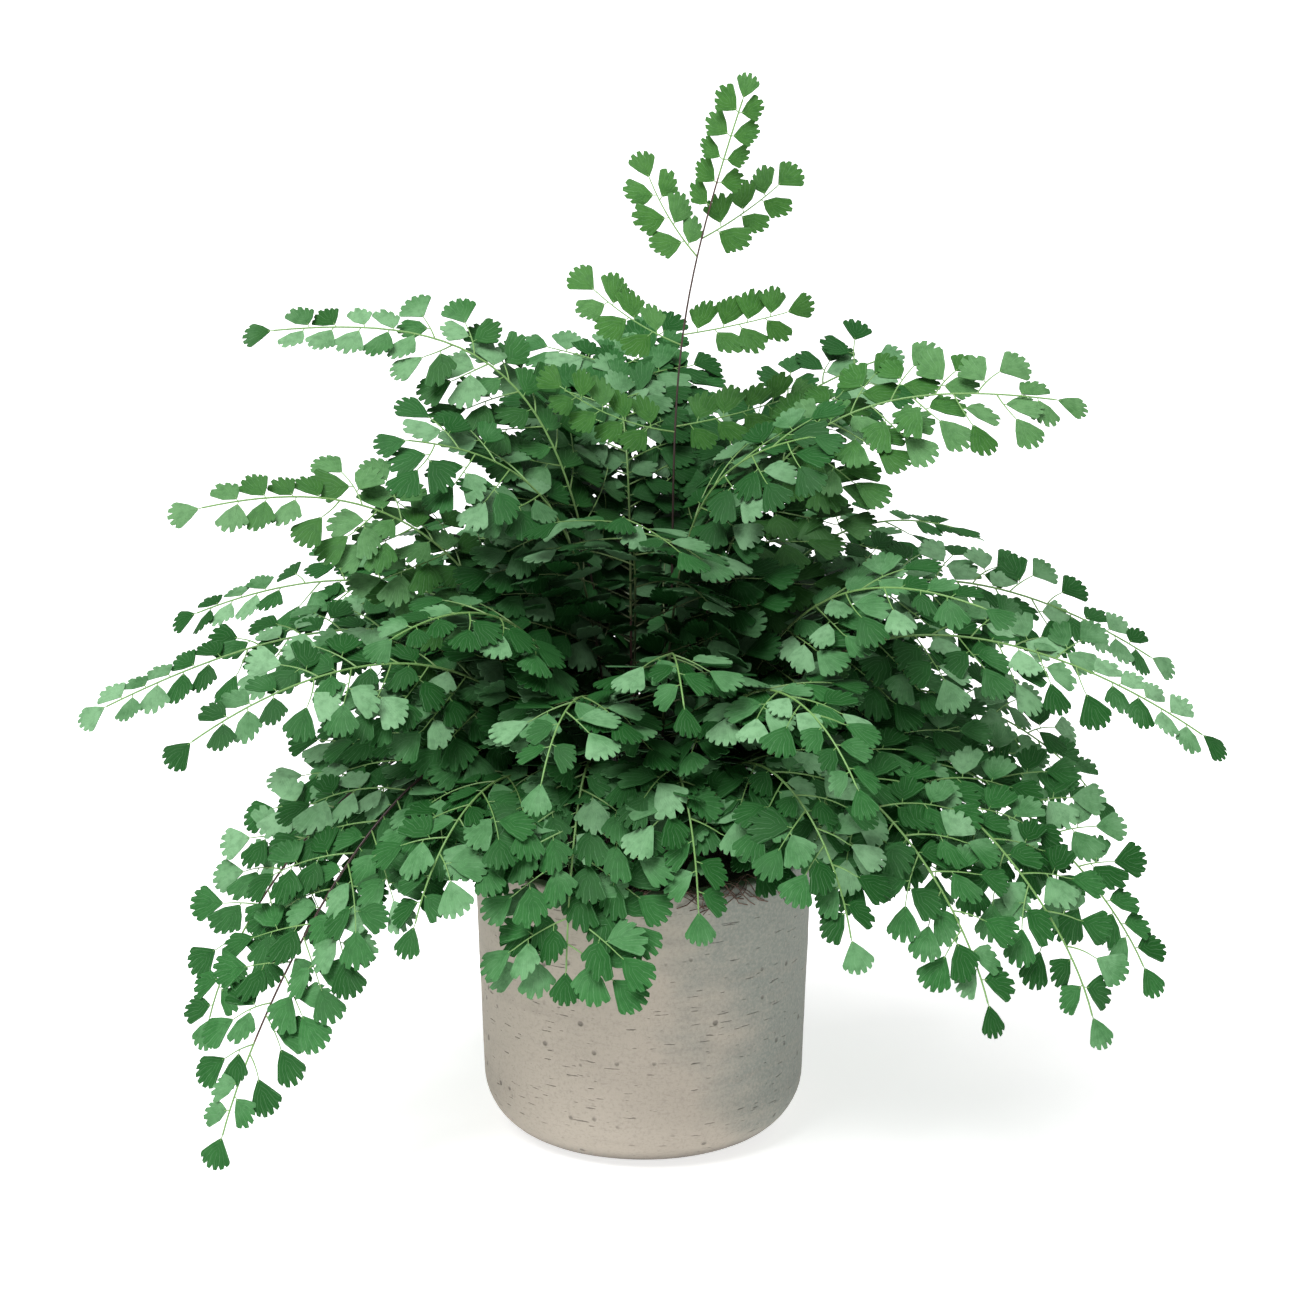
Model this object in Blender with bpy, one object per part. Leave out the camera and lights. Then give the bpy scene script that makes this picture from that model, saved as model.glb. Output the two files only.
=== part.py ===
"""Potted maidenhair fern: a cast concrete pot, its compost, and one thin solid for each frond.

Blender 4.5, metres, +Z up. The origin is the centre of the pot's flat base, and -Y is the front.
A frond is one blade: its outline, with the leaflets cut to the ribs, is drawn flat along the
frond's midrib, given its thickness, and then bent along the midrib's curve in the air.
"""

import math
import random
from typing import NamedTuple

import bmesh
import bpy
from mathutils import Matrix, Vector, noise
from mathutils.bvhtree import BVHTree
from mathutils.geometry import interpolate_bezier

MM = 0.001

# Pot
POT_RADIUS = 75 * MM
POT_FOOT_RADIUS = 71.5 * MM
POT_HEIGHT = 130 * MM
POT_CORNER = 27 * MM
POT_WALL = 8 * MM
POT_FLOOR = 14 * MM
POT_RIM_ROUND = 2 * MM
POT_SIDES = 28

# Compost
FIT_GAP = 0.3 * MM
COMPOST_EDGE = 122 * MM
COMPOST_RISE = 11 * MM
COMPOST_LUMPS = 1.6 * MM
STEM_HOLE_DEPTH = 10 * MM

# Stems and ribs: half widths and half thicknesses
STEM_HALF = 0.85 * MM
RACHIS_TIP_HALF = 0.45 * MM
RIB_HALF = 0.5 * MM
LEAF_HALF = 0.34 * MM
LEAF_EDGE_HALF = 0.31 * MM
NECK_HALF = 0.8 * MM
BEND_STEP = 36 * MM

# Leaflets and side ribs: spreads and leans in degrees, and places in leaflet lengths
LEAFLET = 17 * MM
LEAFLET_SPREAD = 47
LEAFLET_LEAN = 57
LEAFLET_STEP = 28 * MM
LAST_LEAFLET = 0.85
LOBES = (-1, -0.5, 0, 0.5, 1)
LOBE_REACH = (0.82, 1.0, 0.86, 1.0, 0.82)
SIDE_RIB_LEAN = 60
SIDE_RIB_PAIR_LEAN = 62
SIDE_RIB_STEP = 2.75
SIDE_RIB_FIRST = 0.94
SIDE_RIB_STAGGER = 0.12
SIDE_RIB_LAST = 0.9
SIDE_RIB_PAIR_STEP = 1.1
SHORTEST_SIDE_RIB = 35 * MM
BLADE_ARCH = 2.6
LEAFLET_CUP = 1.2 * MM
LEAN_VARIES = 5
SIZE_VARIES = 0.08
SEED = 7

# Room between fronds: round leaflets, and round stems, which are drawn straight between bends
CLEARANCE = 0.45 * MM
STEM_CLEARANCE = 1.3 * MM
STEM_GUARD_STEP = 9 * MM
LIFTS = (0, 9, -9, 18, -18, 27, -27, 36, -36)
LOWEST = 6 * MM


class Frond(NamedTuple):
    """Where a frond goes. Angles are in degrees and lengths in millimetres.

    heading is the compass direction of the tip from the pot's axis, 0 at +X and 90 at +Y.
    launch and landing are the slopes of the midrib above the horizontal at its two ends.
    roll turns the blade about the midrib, and width is the longest side rib's reach. bare is the
    leafless share of the midrib, and arch makes it rise higher between its ends.
    """

    heading: float
    reach: float
    tip: float
    launch: float
    landing: float
    roll: float
    width: float
    bare: float
    arch: float = 1


# Each ring of the crown: the radius at which its stems stand, and its fronds in order of heading.
# A frond's numbers are heading, reach, tip, launch, landing, roll, width, bare and arch.
RINGS = {
    "crown": (
        11,
        (
            Frond(0, 42, 457, 88, 72, 90, 60, 0.54),
            Frond(30, 120, 336, 82, 12, 15, 42, 0.42),
            Frond(100, 95, 335, 84, 15, 0, 44, 0.42),
            Frond(175, 160, 357, 86, -6, -35, 42, 0.44, 1.15),
            Frond(205, 108, 320, 84, 10, -40, 44, 0.42),
            Frond(262, 58, 290, 86, 20, 0, 44, 0.42),
            Frond(325, 85, 322, 84, 15, 40, 44, 0.42),
            Frond(353, 176, 333, 84, -6, 35, 42, 0.44, 1.1),
        ),
    ),
    "middle": (
        26,
        (
            Frond(9, 230, 206, 80, -34, 40, 44, 0.38, 1.1),
            Frond(40, 195, 245, 76, -20, 10, 44, 0.38),
            Frond(80, 178, 215, 76, -35, 0, 46, 0.38),
            Frond(125, 185, 240, 76, -25, 0, 46, 0.38),
            Frond(163, 212, 220, 76, -24, -35, 42, 0.38),
            Frond(183, 234, 196, 76, -26, -25, 40, 0.38),
            Frond(192, 190, 290, 76, -10, -50, 44, 0.38),
            Frond(204, 205, 200, 76, -30, -40, 44, 0.38),
            Frond(226, 145, 250, 80, -15, -20, 46, 0.34),
            Frond(252, 132, 195, 80, -55, 0, 46, 0.34, 1.2),
            Frond(278, 120, 225, 82, -40, 0, 46, 0.34, 1.1),
            Frond(303, 158, 195, 80, -50, 10, 46, 0.34, 1.1),
            Frond(328, 165, 258, 78, -12, 40, 44, 0.36),
            Frond(354, 243, 187, 76, -34, 30, 42, 0.38),
        ),
    ),
    "outer": (
        41,
        (
            Frond(12, 210, 138, 76, -56, 45, 44, 0.35),
            Frond(42, 190, 70, 72, -64, 0, 44, 0.35),
            Frond(73, 182, 85, 72, -60, 0, 44, 0.35),
            Frond(104, 178, 65, 72, -64, 0, 44, 0.35),
            Frond(135, 188, 85, 72, -62, 0, 44, 0.35),
            Frond(166, 172, 110, 76, -62, -40, 44, 0.35),
            Frond(193, 194, 64, 76, -76, -50, 44, 0.34, 1.15),
            Frond(212, 208, 36, 76, -72, -25, 46, 0.38, 1.15),
            Frond(230, 146, 130, 74, -70, -15, 44, 0.3, 1.3),
            Frond(255, 122, 112, 80, -84, 0, 40, 0.36, 2.1),
            Frond(281, 120, 138, 78, -80, 0, 38, 0.34, 1.9),
            Frond(303, 156, 130, 76, -74, 15, 42, 0.3, 1.4),
            Frond(320, 186, 98, 74, -72, 30, 44, 0.32, 1.2),
            Frond(333, 212, 84, 74, -74, 35, 46, 0.34, 1.1),
            Frond(347, 222, 90, 74, -66, 45, 44, 0.34),
        ),
    ),
}
MIDRIB_SAMPLES = 64
LAUNCH_HANDLE = 0.62
LANDING_HANDLE = 0.38


# ---------------------------------------------------------------- materials and scene


def clear_scene():
    for obj in list(bpy.data.objects):
        bpy.data.objects.remove(obj)


def make_material(name, colour, roughness):
    material = bpy.data.materials.new(name)
    material.use_nodes = True
    shader = material.node_tree.nodes["Principled BSDF"]
    shader.inputs["Base Color"].default_value = (*colour, 1)
    shader.inputs["Roughness"].default_value = roughness
    shader.inputs["Metallic"].default_value = 0
    return material


def add_object(name, bm, material):
    mesh = bpy.data.meshes.new(name)
    bm.to_mesh(mesh)
    bm.free()
    mesh.materials.append(material)
    obj = bpy.data.objects.new(name, mesh)
    bpy.context.scene.collection.objects.link(obj)
    return obj


def turned(profile, sides):
    """A closed shape turned about Z from (radius, height) points, with a flat face at each end."""
    bm = bmesh.new()
    points = [bm.verts.new((radius, 0, height)) for radius, height in profile]
    edges = [bm.edges.new(pair) for pair in zip(points, points[1:])]
    bmesh.ops.spin(
        bm,
        geom=points + edges,
        cent=(0, 0, 0),
        axis=(0, 0, 1),
        angle=math.tau,
        steps=sides,
        use_merge=True,
    )
    bmesh.ops.holes_fill(bm, edges=bm.edges, sides=sides)
    bmesh.ops.recalc_face_normals(bm, faces=bm.faces)
    return bm


# ---------------------------------------------------------------- pot and compost


def arc(centre, radius, start, end, steps):
    """Points on a quarter or less of a circle in the (radius, height) plane, angles in degrees."""
    return [
        (
            centre[0] + radius * math.cos(math.radians(start + (end - start) * i / steps)),
            centre[1] + radius * math.sin(math.radians(start + (end - start) * i / steps)),
        )
        for i in range(steps + 1)
    ]


def make_pot(material):
    inner = POT_RADIUS - POT_WALL
    inner_foot = POT_FOOT_RADIUS - POT_WALL
    inner_corner = POT_CORNER - POT_WALL
    round_ = POT_RIM_ROUND
    profile = [
        *arc((POT_FOOT_RADIUS - POT_CORNER, POT_CORNER), POT_CORNER, -90, 0, 5),
        *arc((POT_RADIUS - round_, POT_HEIGHT - round_), round_, 0, 90, 2),
        *arc((inner + round_, POT_HEIGHT - round_), round_, 90, 180, 1),
        *arc((inner_foot - inner_corner, POT_FLOOR + inner_corner), inner_corner, 0, -90, 1),
    ]
    pot = add_object("pot", turned(profile, POT_SIDES), material)
    pot.data.shade_smooth()
    pot.data.set_sharp_from_angle(angle=math.radians(40))
    return pot


def compost_height(x, y):
    """Height of the compost's surface: a low mound with lumps."""
    share = math.hypot(x, y) / (POT_RADIUS - POT_WALL)
    lumps = COMPOST_LUMPS * noise.noise(Vector((x, y, 0)) / (9 * MM))
    return COMPOST_EDGE + COMPOST_RISE * (1 - share**2) + lumps * (1 - share**4)


def make_compost(material, stems):
    """The compost fills the pot, and a plain square hole takes the foot of each stem."""
    inner = POT_RADIUS - POT_WALL - FIT_GAP - 0.4 * MM
    inner_foot = POT_FOOT_RADIUS - POT_WALL - FIT_GAP - 0.4 * MM
    corner = POT_CORNER - POT_WALL
    rings = [inner * k / 4 for k in range(4, 0, -1)]
    profile = [
        *arc((inner_foot - corner, POT_FLOOR + FIT_GAP + corner), corner, -90, 0, 1),
        *[(radius, COMPOST_EDGE) for radius in rings],
    ]
    bm = turned(profile, POT_SIDES // 2)
    for vertex in bm.verts:
        if vertex.co.z > COMPOST_EDGE - MM:
            vertex.co.z = compost_height(vertex.co.x, vertex.co.y)
    compost = add_object("compost", bm, material)

    holes = bpy.data.collections.new("stem_holes")
    bpy.context.scene.collection.children.link(holes)
    side = 2 * (STEM_HALF + FIT_GAP)
    depth = STEM_HOLE_DEPTH + FIT_GAP
    for index, midrib in enumerate(stems):
        bm = bmesh.new()
        bmesh.ops.create_cube(bm, size=1, matrix=Matrix.Diagonal((side, side, 2 * depth, 1)))
        mesh = bpy.data.meshes.new("stem_hole")
        bm.to_mesh(mesh)
        bm.free()
        hole = bpy.data.objects.new(f"stem_hole_{index}", mesh)
        hole.matrix_world = midrib.frame_matrix(0)
        hole.hide_render = True
        hole.display_type = "WIRE"
        holes.objects.link(hole)
    cut = compost.modifiers.new("stem_holes", "BOOLEAN")
    cut.operation = "DIFFERENCE"
    cut.operand_type = "COLLECTION"
    cut.collection = holes
    cut.solver = "EXACT"
    return compost


# ---------------------------------------------------------------- midribs


def smooth_step(x):
    x = min(max(x, 0), 1)
    return x * x * (3 - 2 * x)


class Midrib:
    """A frond's midrib in the air, and the curved surface of the blade that it carries."""

    def __init__(self, frond, ring_radius, root_heading):
        heading = math.radians(frond.heading)
        self.frond = frond
        self.side = Vector((-math.sin(heading), math.cos(heading), 0))
        outward = Vector((math.cos(heading), math.sin(heading), 0))
        x = ring_radius * MM * math.cos(root_heading)
        y = ring_radius * MM * math.sin(root_heading)
        root = Vector((x, y, compost_height(x, y)))
        tip = outward * frond.reach * MM + Vector((0, 0, frond.tip * MM))
        span = (tip - root).length * frond.arch
        launch, landing = math.radians(frond.launch), math.radians(frond.landing)
        leaving = outward * math.cos(launch) + Vector((0, 0, math.sin(launch)))
        arriving = outward * math.cos(landing) + Vector((0, 0, math.sin(landing)))
        points = interpolate_bezier(
            root,
            root + leaving * span * LAUNCH_HANDLE,
            tip - arriving * span * LANDING_HANDLE,
            tip,
            MIDRIB_SAMPLES,
        )
        self.points = points
        self.stations = [0.0]
        for a, b in zip(points, points[1:]):
            self.stations.append(self.stations[-1] + (b - a).length)
        self.length = self.stations[-1]
        self.blade_start = frond.bare * self.length

    def point_and_tangent(self, s):
        """The point and the unit tangent at arc length s; the ends run on straight."""
        inside = min(max(s, 0), self.length)
        last = len(self.points) - 2
        k = min(sum(station <= inside for station in self.stations[1:]), last)
        step = self.stations[k + 1] - self.stations[k]
        share = (inside - self.stations[k]) / step
        before, after = max(k - 1, 0), min(k + 2, last + 1)
        here = (self.points[k + 1] - self.points[before]).normalized()
        there = (self.points[after] - self.points[k]).normalized()
        tangent = here.lerp(there, share).normalized()
        point = self.points[k].lerp(self.points[k + 1], share)
        return point + tangent * (s - inside), tangent

    def frame(self, s):
        """Point, tangent, sideways and upward directions of the blade at arc length s."""
        point, tangent = self.point_and_tangent(s)
        side = (self.side - tangent * self.side.dot(tangent)).normalized()
        turn = math.radians(self.frond.roll) * smooth_step(s / self.blade_start)
        side = Matrix.Rotation(turn, 3, tangent) @ side
        return point, tangent, side, tangent.cross(side)

    def frame_matrix(self, s):
        point, tangent, side, up = self.frame(s)
        rotation = Matrix((side, up, tangent)).transposed()
        return Matrix.Translation(point) @ rotation.to_4x4()

    def place(self, s, t, height):
        """The point in the air for s along the midrib, t across it and height above the blade."""
        point, _, side, up = self.frame(s)
        return point + side * t + up * (height - BLADE_ARCH * t * t)


# ---------------------------------------------------------------- flat outlines
# An outline is a list of points (along the midrib, across it), each with its half thickness.


def polar(reach, angle):
    return Vector((math.cos(angle), math.sin(angle))) * reach


def leaflet_outline(foot, angle, length):
    """A fan on a narrow neck, with a notch between two lobes, counter-clockwise from its neck."""
    spread = math.radians(LEAFLET_SPREAD)
    across = Vector((-math.sin(angle), math.cos(angle))) * NECK_HALF
    rim = [
        (foot + polar(length * reach, angle + spread * lobe), LEAF_EDGE_HALF)
        for lobe, reach in zip(LOBES, LOBE_REACH)
    ]
    return [(foot - across, LEAF_HALF), *rim, (foot + across, LEAF_HALF)]


def side_rib_leaflet(length):
    """The size of the leaflets on a side rib that reaches so far from the midrib."""
    return min(LEAFLET, length / (SIDE_RIB_FIRST + SIDE_RIB_LAST + 1))


def side_rib_outline(angle, length):
    """A side rib with pairs of leaflets and one at its end, counter-clockwise from its foot."""
    forward = polar(1, angle)
    across = Vector((-forward.y, forward.x))
    lean = math.radians(SIDE_RIB_PAIR_LEAN)
    size = side_rib_leaflet(length)
    near, far = [], []
    along = length - size * (1 + SIDE_RIB_LAST)
    while along > (SIDE_RIB_FIRST - 0.01) * size:
        foot = forward * along - across * RIB_HALF
        near = leaflet_outline(foot, angle - lean, size) + near
        foot = forward * (along + SIDE_RIB_STAGGER * size) + across * RIB_HALF
        far += leaflet_outline(foot, angle + lean, size)
        along -= SIDE_RIB_PAIR_STEP * size
    return [
        (-across * RIB_HALF, RIB_HALF),
        *near,
        *leaflet_outline(forward * (length - size), angle, size),
        *far,
        (across * RIB_HALF, RIB_HALF),
    ]


class Outgrowth(NamedTuple):
    """A side rib or a leaflet on one side of the midrib: its flat outline, from the ground up."""

    side: int
    outline: list


def stem_half(midrib, s):
    share = min(max(s / midrib.length, 0), 1)
    return STEM_HALF + (RACHIS_TIP_HALF - STEM_HALF) * share


def outgrowths(midrib):
    """Side ribs low on the blade and single leaflets near its tip, by turns left and right."""
    draw = random.Random(SEED + round(midrib.frond.heading))
    found = []
    run = midrib.length - midrib.blade_start
    for side in (1, -1):
        along = midrib.blade_start
        if side < 0:
            along += SIDE_RIB_STEP * LEAFLET / 2
        while along < midrib.length - LAST_LEAFLET * LEAFLET:
            u = (along - midrib.blade_start) / run
            length = midrib.frond.width * MM * (1.08 - 0.9 * u)
            varied = draw.uniform(-LEAN_VARIES, LEAN_VARIES)
            if length > SHORTEST_SIDE_RIB:
                outline = side_rib_outline(math.radians(SIDE_RIB_LEAN + varied), length)
                step = SIDE_RIB_STEP * side_rib_leaflet(length)
            else:
                size = LEAFLET * (1 - draw.uniform(0, SIZE_VARIES))
                lean = math.radians(LEAFLET_LEAN + varied)
                outline = leaflet_outline(Vector((0, 0)), lean, size)
                step = LEAFLET_STEP
            foot = Vector((along, side * stem_half(midrib, along) * 0.9))
            placed = [(foot + Vector((p.x, side * p.y)), half) for p, half in outline]
            found.append(Outgrowth(side, placed[::-1]))
            along += step
    return found


def flat_point(point, half, lift):
    """A point of an outline with its rise, from the lift of its side rib and a leaflet's cup."""
    rise = max(abs(point.y) - STEM_HALF, 0) * math.tan(math.radians(lift))
    cup = LEAFLET_CUP if half == LEAF_EDGE_HALF else 0
    return point.x, point.y, half, rise - cup


def stem_edge(midrib, side, start, end, bend_step=BEND_STEP):
    """Points along one edge of the midrib between two stations, close enough to follow its bend."""
    steps = max(1, math.ceil((end - start) / bend_step))
    stations = [start + (end - start) * i / steps for i in range(1, steps)]
    return [(Vector((s, side * stem_half(midrib, s))), stem_half(midrib, s)) for s in stations]


def frond_edge(midrib, side, grown):
    """One edge of the frond from the ground to its tip, round all that grows on that side."""
    edge = []
    here = 0
    for growth, lift in grown:
        if growth.side == side:
            below = stem_edge(midrib, side, here, growth.outline[0][0].x)
            edge += [flat_point(*point, 0) for point in below]
            edge += [flat_point(*point, lift) for point in growth.outline]
            here = growth.outline[-1][0].x
    above = stem_edge(midrib, side, here, midrib.length)
    return edge + [flat_point(*point, 0) for point in above]


def frond_outline(midrib, grown):
    """The whole frond's flat outline, counter-clockwise from the foot of its stem."""
    foot = Vector((-STEM_HOLE_DEPTH, 0))
    across = Vector((0, STEM_HALF))
    tip = leaflet_outline(Vector((midrib.length, 0)), 0, LEAFLET)
    return [
        flat_point(foot - across, STEM_HALF, 0),
        flat_point(-across, STEM_HALF, 0),
        *frond_edge(midrib, -1, grown),
        *[flat_point(*point, 0) for point in tip],
        *reversed(frond_edge(midrib, 1, grown)),
        flat_point(across, STEM_HALF, 0),
        flat_point(foot + across, STEM_HALF, 0),
    ]


# ---------------------------------------------------------------- solids from outlines


def blade_mesh(midrib, outline, extra=0):
    """The outline as a flat triangulated face, given its thickness and bent along the midrib."""
    bm = bmesh.new()
    half = bm.verts.layers.float.new("half")
    rise = bm.verts.layers.float.new("rise")
    for along, across, thickness, lift in outline:
        vertex = bm.verts.new((along, across, 0))
        vertex[half] = thickness + extra
        vertex[rise] = lift
    flat = bm.faces.new(bm.verts)
    flat.normal_update()
    if flat.normal.z < 0:
        flat.normal_flip()
    bmesh.ops.triangulate(bm, faces=[flat], ngon_method="BEAUTY")
    under = list(bm.verts)
    upper = bmesh.ops.extrude_face_region(bm, geom=list(bm.faces), use_keep_orig=True)["geom"]
    for vertex in upper:
        if isinstance(vertex, bmesh.types.BMVert):
            vertex.co.z = vertex[half]
    for vertex in under:
        vertex.co.z = -vertex[half]
    for vertex in bm.verts:
        along, across, height = vertex.co
        vertex.co = midrib.place(along, across, height + vertex[rise])
    bmesh.ops.recalc_face_normals(bm, faces=bm.faces)
    bmesh.ops.triangulate(bm, faces=bm.faces)
    return bm


def corners_and_faces(bm):
    bm.verts.index_update()
    points = [vertex.co.copy() for vertex in bm.verts]
    faces = [[vertex.index for vertex in face.verts] for face in bm.faces]
    bm.free()
    return points, faces


class Occupied:
    """The solids already in place, as one search tree."""

    def __init__(self):
        self.parts = {}

    def put(self, name, points, faces):
        self.parts[name] = (points, faces)

    def tree_without(self, name):
        points, faces = [], []
        for part, (part_points, part_faces) in self.parts.items():
            if part != name:
                faces += [[k + len(points) for k in face] for face in part_faces]
                points += part_points
        return BVHTree.FromPolygons(points, faces)


def stem_guard(midrib):
    """The frond without its side ribs, with room around it."""
    room = Vector((0, STEM_CLEARANCE))
    right = stem_edge(midrib, -1, 0, midrib.length, STEM_GUARD_STEP)
    left = stem_edge(midrib, 1, 0, midrib.length, STEM_GUARD_STEP)
    outline = [
        *[flat_point(point - room, half, 0) for point, half in right],
        *[
            flat_point(*point, 0)
            for point in leaflet_outline(Vector((midrib.length, 0)), 0, LEAFLET + STEM_CLEARANCE)
        ],
        *[flat_point(point + room, half, 0) for point, half in reversed(left)],
    ]
    return blade_mesh(midrib, outline, STEM_CLEARANCE)


def lift_clear(midrib, growth, tree):
    """The smallest lift, in degrees, at which a growth clears its neighbours, or None."""
    for lift in LIFTS:
        outline = [flat_point(*point, lift) for point in growth.outline]
        points, faces = corners_and_faces(blade_mesh(midrib, outline, CLEARANCE))
        if min(point.z for point in points) < LOWEST:
            continue
        if not tree.overlap(BVHTree.FromPolygons(points, faces)):
            return lift
    return None


def mesh_parts(obj):
    graph = bpy.context.evaluated_depsgraph_get()
    mesh = obj.evaluated_get(graph).to_mesh()
    points = [vertex.co.copy() for vertex in mesh.vertices]
    faces = [list(face.vertices) for face in mesh.polygons]
    obj.evaluated_get(graph).to_mesh_clear()
    return points, faces


def make_fronds(midribs, material, fixed):
    """Every stem is placed first, then each frond's leaflets where they clear what is there."""
    occupied = Occupied()
    for obj in fixed:
        occupied.put(obj.name, *mesh_parts(obj))
    for name, midrib in midribs.items():
        occupied.put(name, *corners_and_faces(stem_guard(midrib)))
    for name, midrib in midribs.items():
        tree = occupied.tree_without(name)
        grown = []
        for growth in outgrowths(midrib):
            lift = lift_clear(midrib, growth, tree)
            if lift is not None:
                grown.append((growth, lift))
        bm = blade_mesh(midrib, frond_outline(midrib, grown))
        occupied.put(name, *corners_and_faces(bm.copy()))
        add_object(name, bm, material)


def make_midribs():
    """The midribs of each ring, with the stems evenly spaced round it."""
    midribs = {}
    for ring, (radius, fronds) in RINGS.items():
        lean = sum(frond.heading - 360 * k / len(fronds) for k, frond in enumerate(fronds))
        start = lean / len(fronds)
        for k, frond in enumerate(fronds):
            root_heading = math.radians(start + 360 * k / len(fronds))
            midribs[f"frond_{ring}_{k + 1:02d}"] = Midrib(frond, radius, root_heading)
    return midribs


def main():
    clear_scene()
    concrete = make_material("concrete", (0.42, 0.39, 0.33), 0.85)
    compost = make_material("compost", (0.035, 0.022, 0.014), 0.95)
    foliage = make_material("foliage", (0.06, 0.24, 0.05), 0.55)
    midribs = make_midribs()
    pot = make_pot(concrete)
    filling = make_compost(compost, midribs.values())
    make_fronds(midribs, foliage, [pot, filling])


main()
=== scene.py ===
"""Potted maidenhair fern: the finished pot, compost and fronds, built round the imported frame.

Metres, +Z up, with the origin at the centre of the pot's base and -Y at the front.
"""

import math
import random
from typing import NamedTuple

import bmesh
import bpy
from mathutils import Matrix, Vector, noise
from mathutils.geometry import interpolate_bezier


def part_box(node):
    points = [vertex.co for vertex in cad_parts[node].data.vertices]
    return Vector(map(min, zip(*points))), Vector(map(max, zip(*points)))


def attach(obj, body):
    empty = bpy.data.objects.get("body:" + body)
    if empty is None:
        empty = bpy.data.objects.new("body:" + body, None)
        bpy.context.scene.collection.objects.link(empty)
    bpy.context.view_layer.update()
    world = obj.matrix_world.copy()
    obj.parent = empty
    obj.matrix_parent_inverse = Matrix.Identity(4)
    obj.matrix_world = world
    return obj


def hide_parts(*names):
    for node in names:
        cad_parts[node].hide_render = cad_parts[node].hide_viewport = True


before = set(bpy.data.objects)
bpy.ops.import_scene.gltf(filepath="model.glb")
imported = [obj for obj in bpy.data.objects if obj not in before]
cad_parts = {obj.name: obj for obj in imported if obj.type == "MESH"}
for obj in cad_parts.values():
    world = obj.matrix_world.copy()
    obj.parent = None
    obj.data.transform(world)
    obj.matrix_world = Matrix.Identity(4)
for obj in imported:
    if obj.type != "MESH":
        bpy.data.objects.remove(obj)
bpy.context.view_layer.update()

bl_info = {
    "name": "Maidenhair Fern",
    "version": (1, 0, 0),
    "blender": (4, 5, 0),
    "location": "3D View > Sidebar > Fern",
    "description": "Builds a potted maidenhair fern from its pot to its leaflets",
    "category": "Add Mesh",
}

MM = 0.001
BODY = "root"

# Pot and compost: the outer size is the frame's, and the rest is as the frame was made
POT_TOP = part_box("pot")[1]
POT_RADIUS = round(POT_TOP.x, 6)
POT_HEIGHT = round(POT_TOP.z, 6)
POT_FOOT_RADIUS = 71.5 * MM
POT_CORNER = 27 * MM
POT_WALL = 8 * MM
POT_FLOOR = 14 * MM
POT_RIM_ROUND = 2 * MM
POT_FOOT_STEPS = 14
POT_WALL_STEPS = 26
POT_RIM_STEPS = 5
POT_INNER_STEPS = 6
POT_SHARP_ANGLE = 50
HOLLOW_SPACING = 24 * MM
HOLLOW_NOISE = (0.8, 2.2, 3)  # how much weaker and finer each octave is, and how many there are
COMPOST_EDGE = 122 * MM
COMPOST_RISE = 11 * MM
COMPOST_LUMPS = 1.6 * MM
LUMP_SPACING = 9 * MM
COMPOST_RADIUS = POT_RADIUS - POT_WALL - 0.5 * MM
COMPOST_SKIRT = 10 * MM
COMPOST_STEPS = 26
COMPOST_SIDES = 90
CRUMB_HEIGHT = 0.9 * MM
CRUMB_SPACING = 3.2 * MM
CRUMB_NOISE = (0.9, 2.1, 3)

# Fronds, as the frame was made
STEM_DEPTH = 8 * MM
STEM_HALF = 0.85 * MM
BLADE_ARCH = 2.6  # drop of a blade's sides over the square of the way out, per metre
MIDRIB_SAMPLES = 64
LAUNCH_HANDLE = 0.62
LANDING_HANDLE = 0.38

# Stalks: half of how thick they are, and how finely they are made
MIDRIB_TIP_HALF = 0.38 * MM
SIDE_STALK_HALF = 0.38 * MM
SIDE_STALK_TIP_HALF = 0.24 * MM
LEAF_STALK_HALF = 0.24 * MM
LEAF_STALK_TIP_HALF = 0.2 * MM
MIDRIB_TAPER = 0.6
MIDRIB_STEPS = 44
SIDE_STALK_STEPS = 10
STALK_SIDES = 6

# How young a stalk looks, from 0 to 1: a stem just below its green part, that part, a side
# stalk at its start and how much more at its end, and a leaflet's stalk at its two ends
OLD_YOUTH = 0.3
GREEN_YOUTH = 0.72
SIDE_YOUTH = 0.6
SIDE_YOUTH_GAIN = 0.35
LEAF_STALK_YOUTH = (0.8, 1.0)

# In leaflet lengths: how far the shortest side stalk reaches, the room left at a row's start and
# at a blade's end, and how far before a side stalk's tip the rows on its two sides end
SHORTEST_SIDE_STALK = 1.7
END_ROOM = 0.35
ROW_ENDS = {1: 0.45, -1: 0.62}

# Pairs of side stalks: their lean in degrees, the share of the midrib from which they close, how
# many degrees they would close on a whole midrib, and how many gaps less the last step is
PAIR_LEAN = 82
PAIR_CLOSES_FROM = 0.64
PAIR_CLOSES_BY = 180
PAIR_STEP_BACK = 0.4

# The single leaflets on a midrib, with places in gaps past a side stalk, and how far a side stalk
# and its rows follow the light
TIP_SIZE = 0.85
MIDRIB_LEAFLET_SHRINK = 0.12
INFILL_PLACE = 0.5
FILLER_PLACE = 0.2
FILLER_FAN = 0.3
RISE_SHARE = 0.7
STEEPEST_RISE = 0.6  # radians
ROW_SLOPE = 0.4

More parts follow.
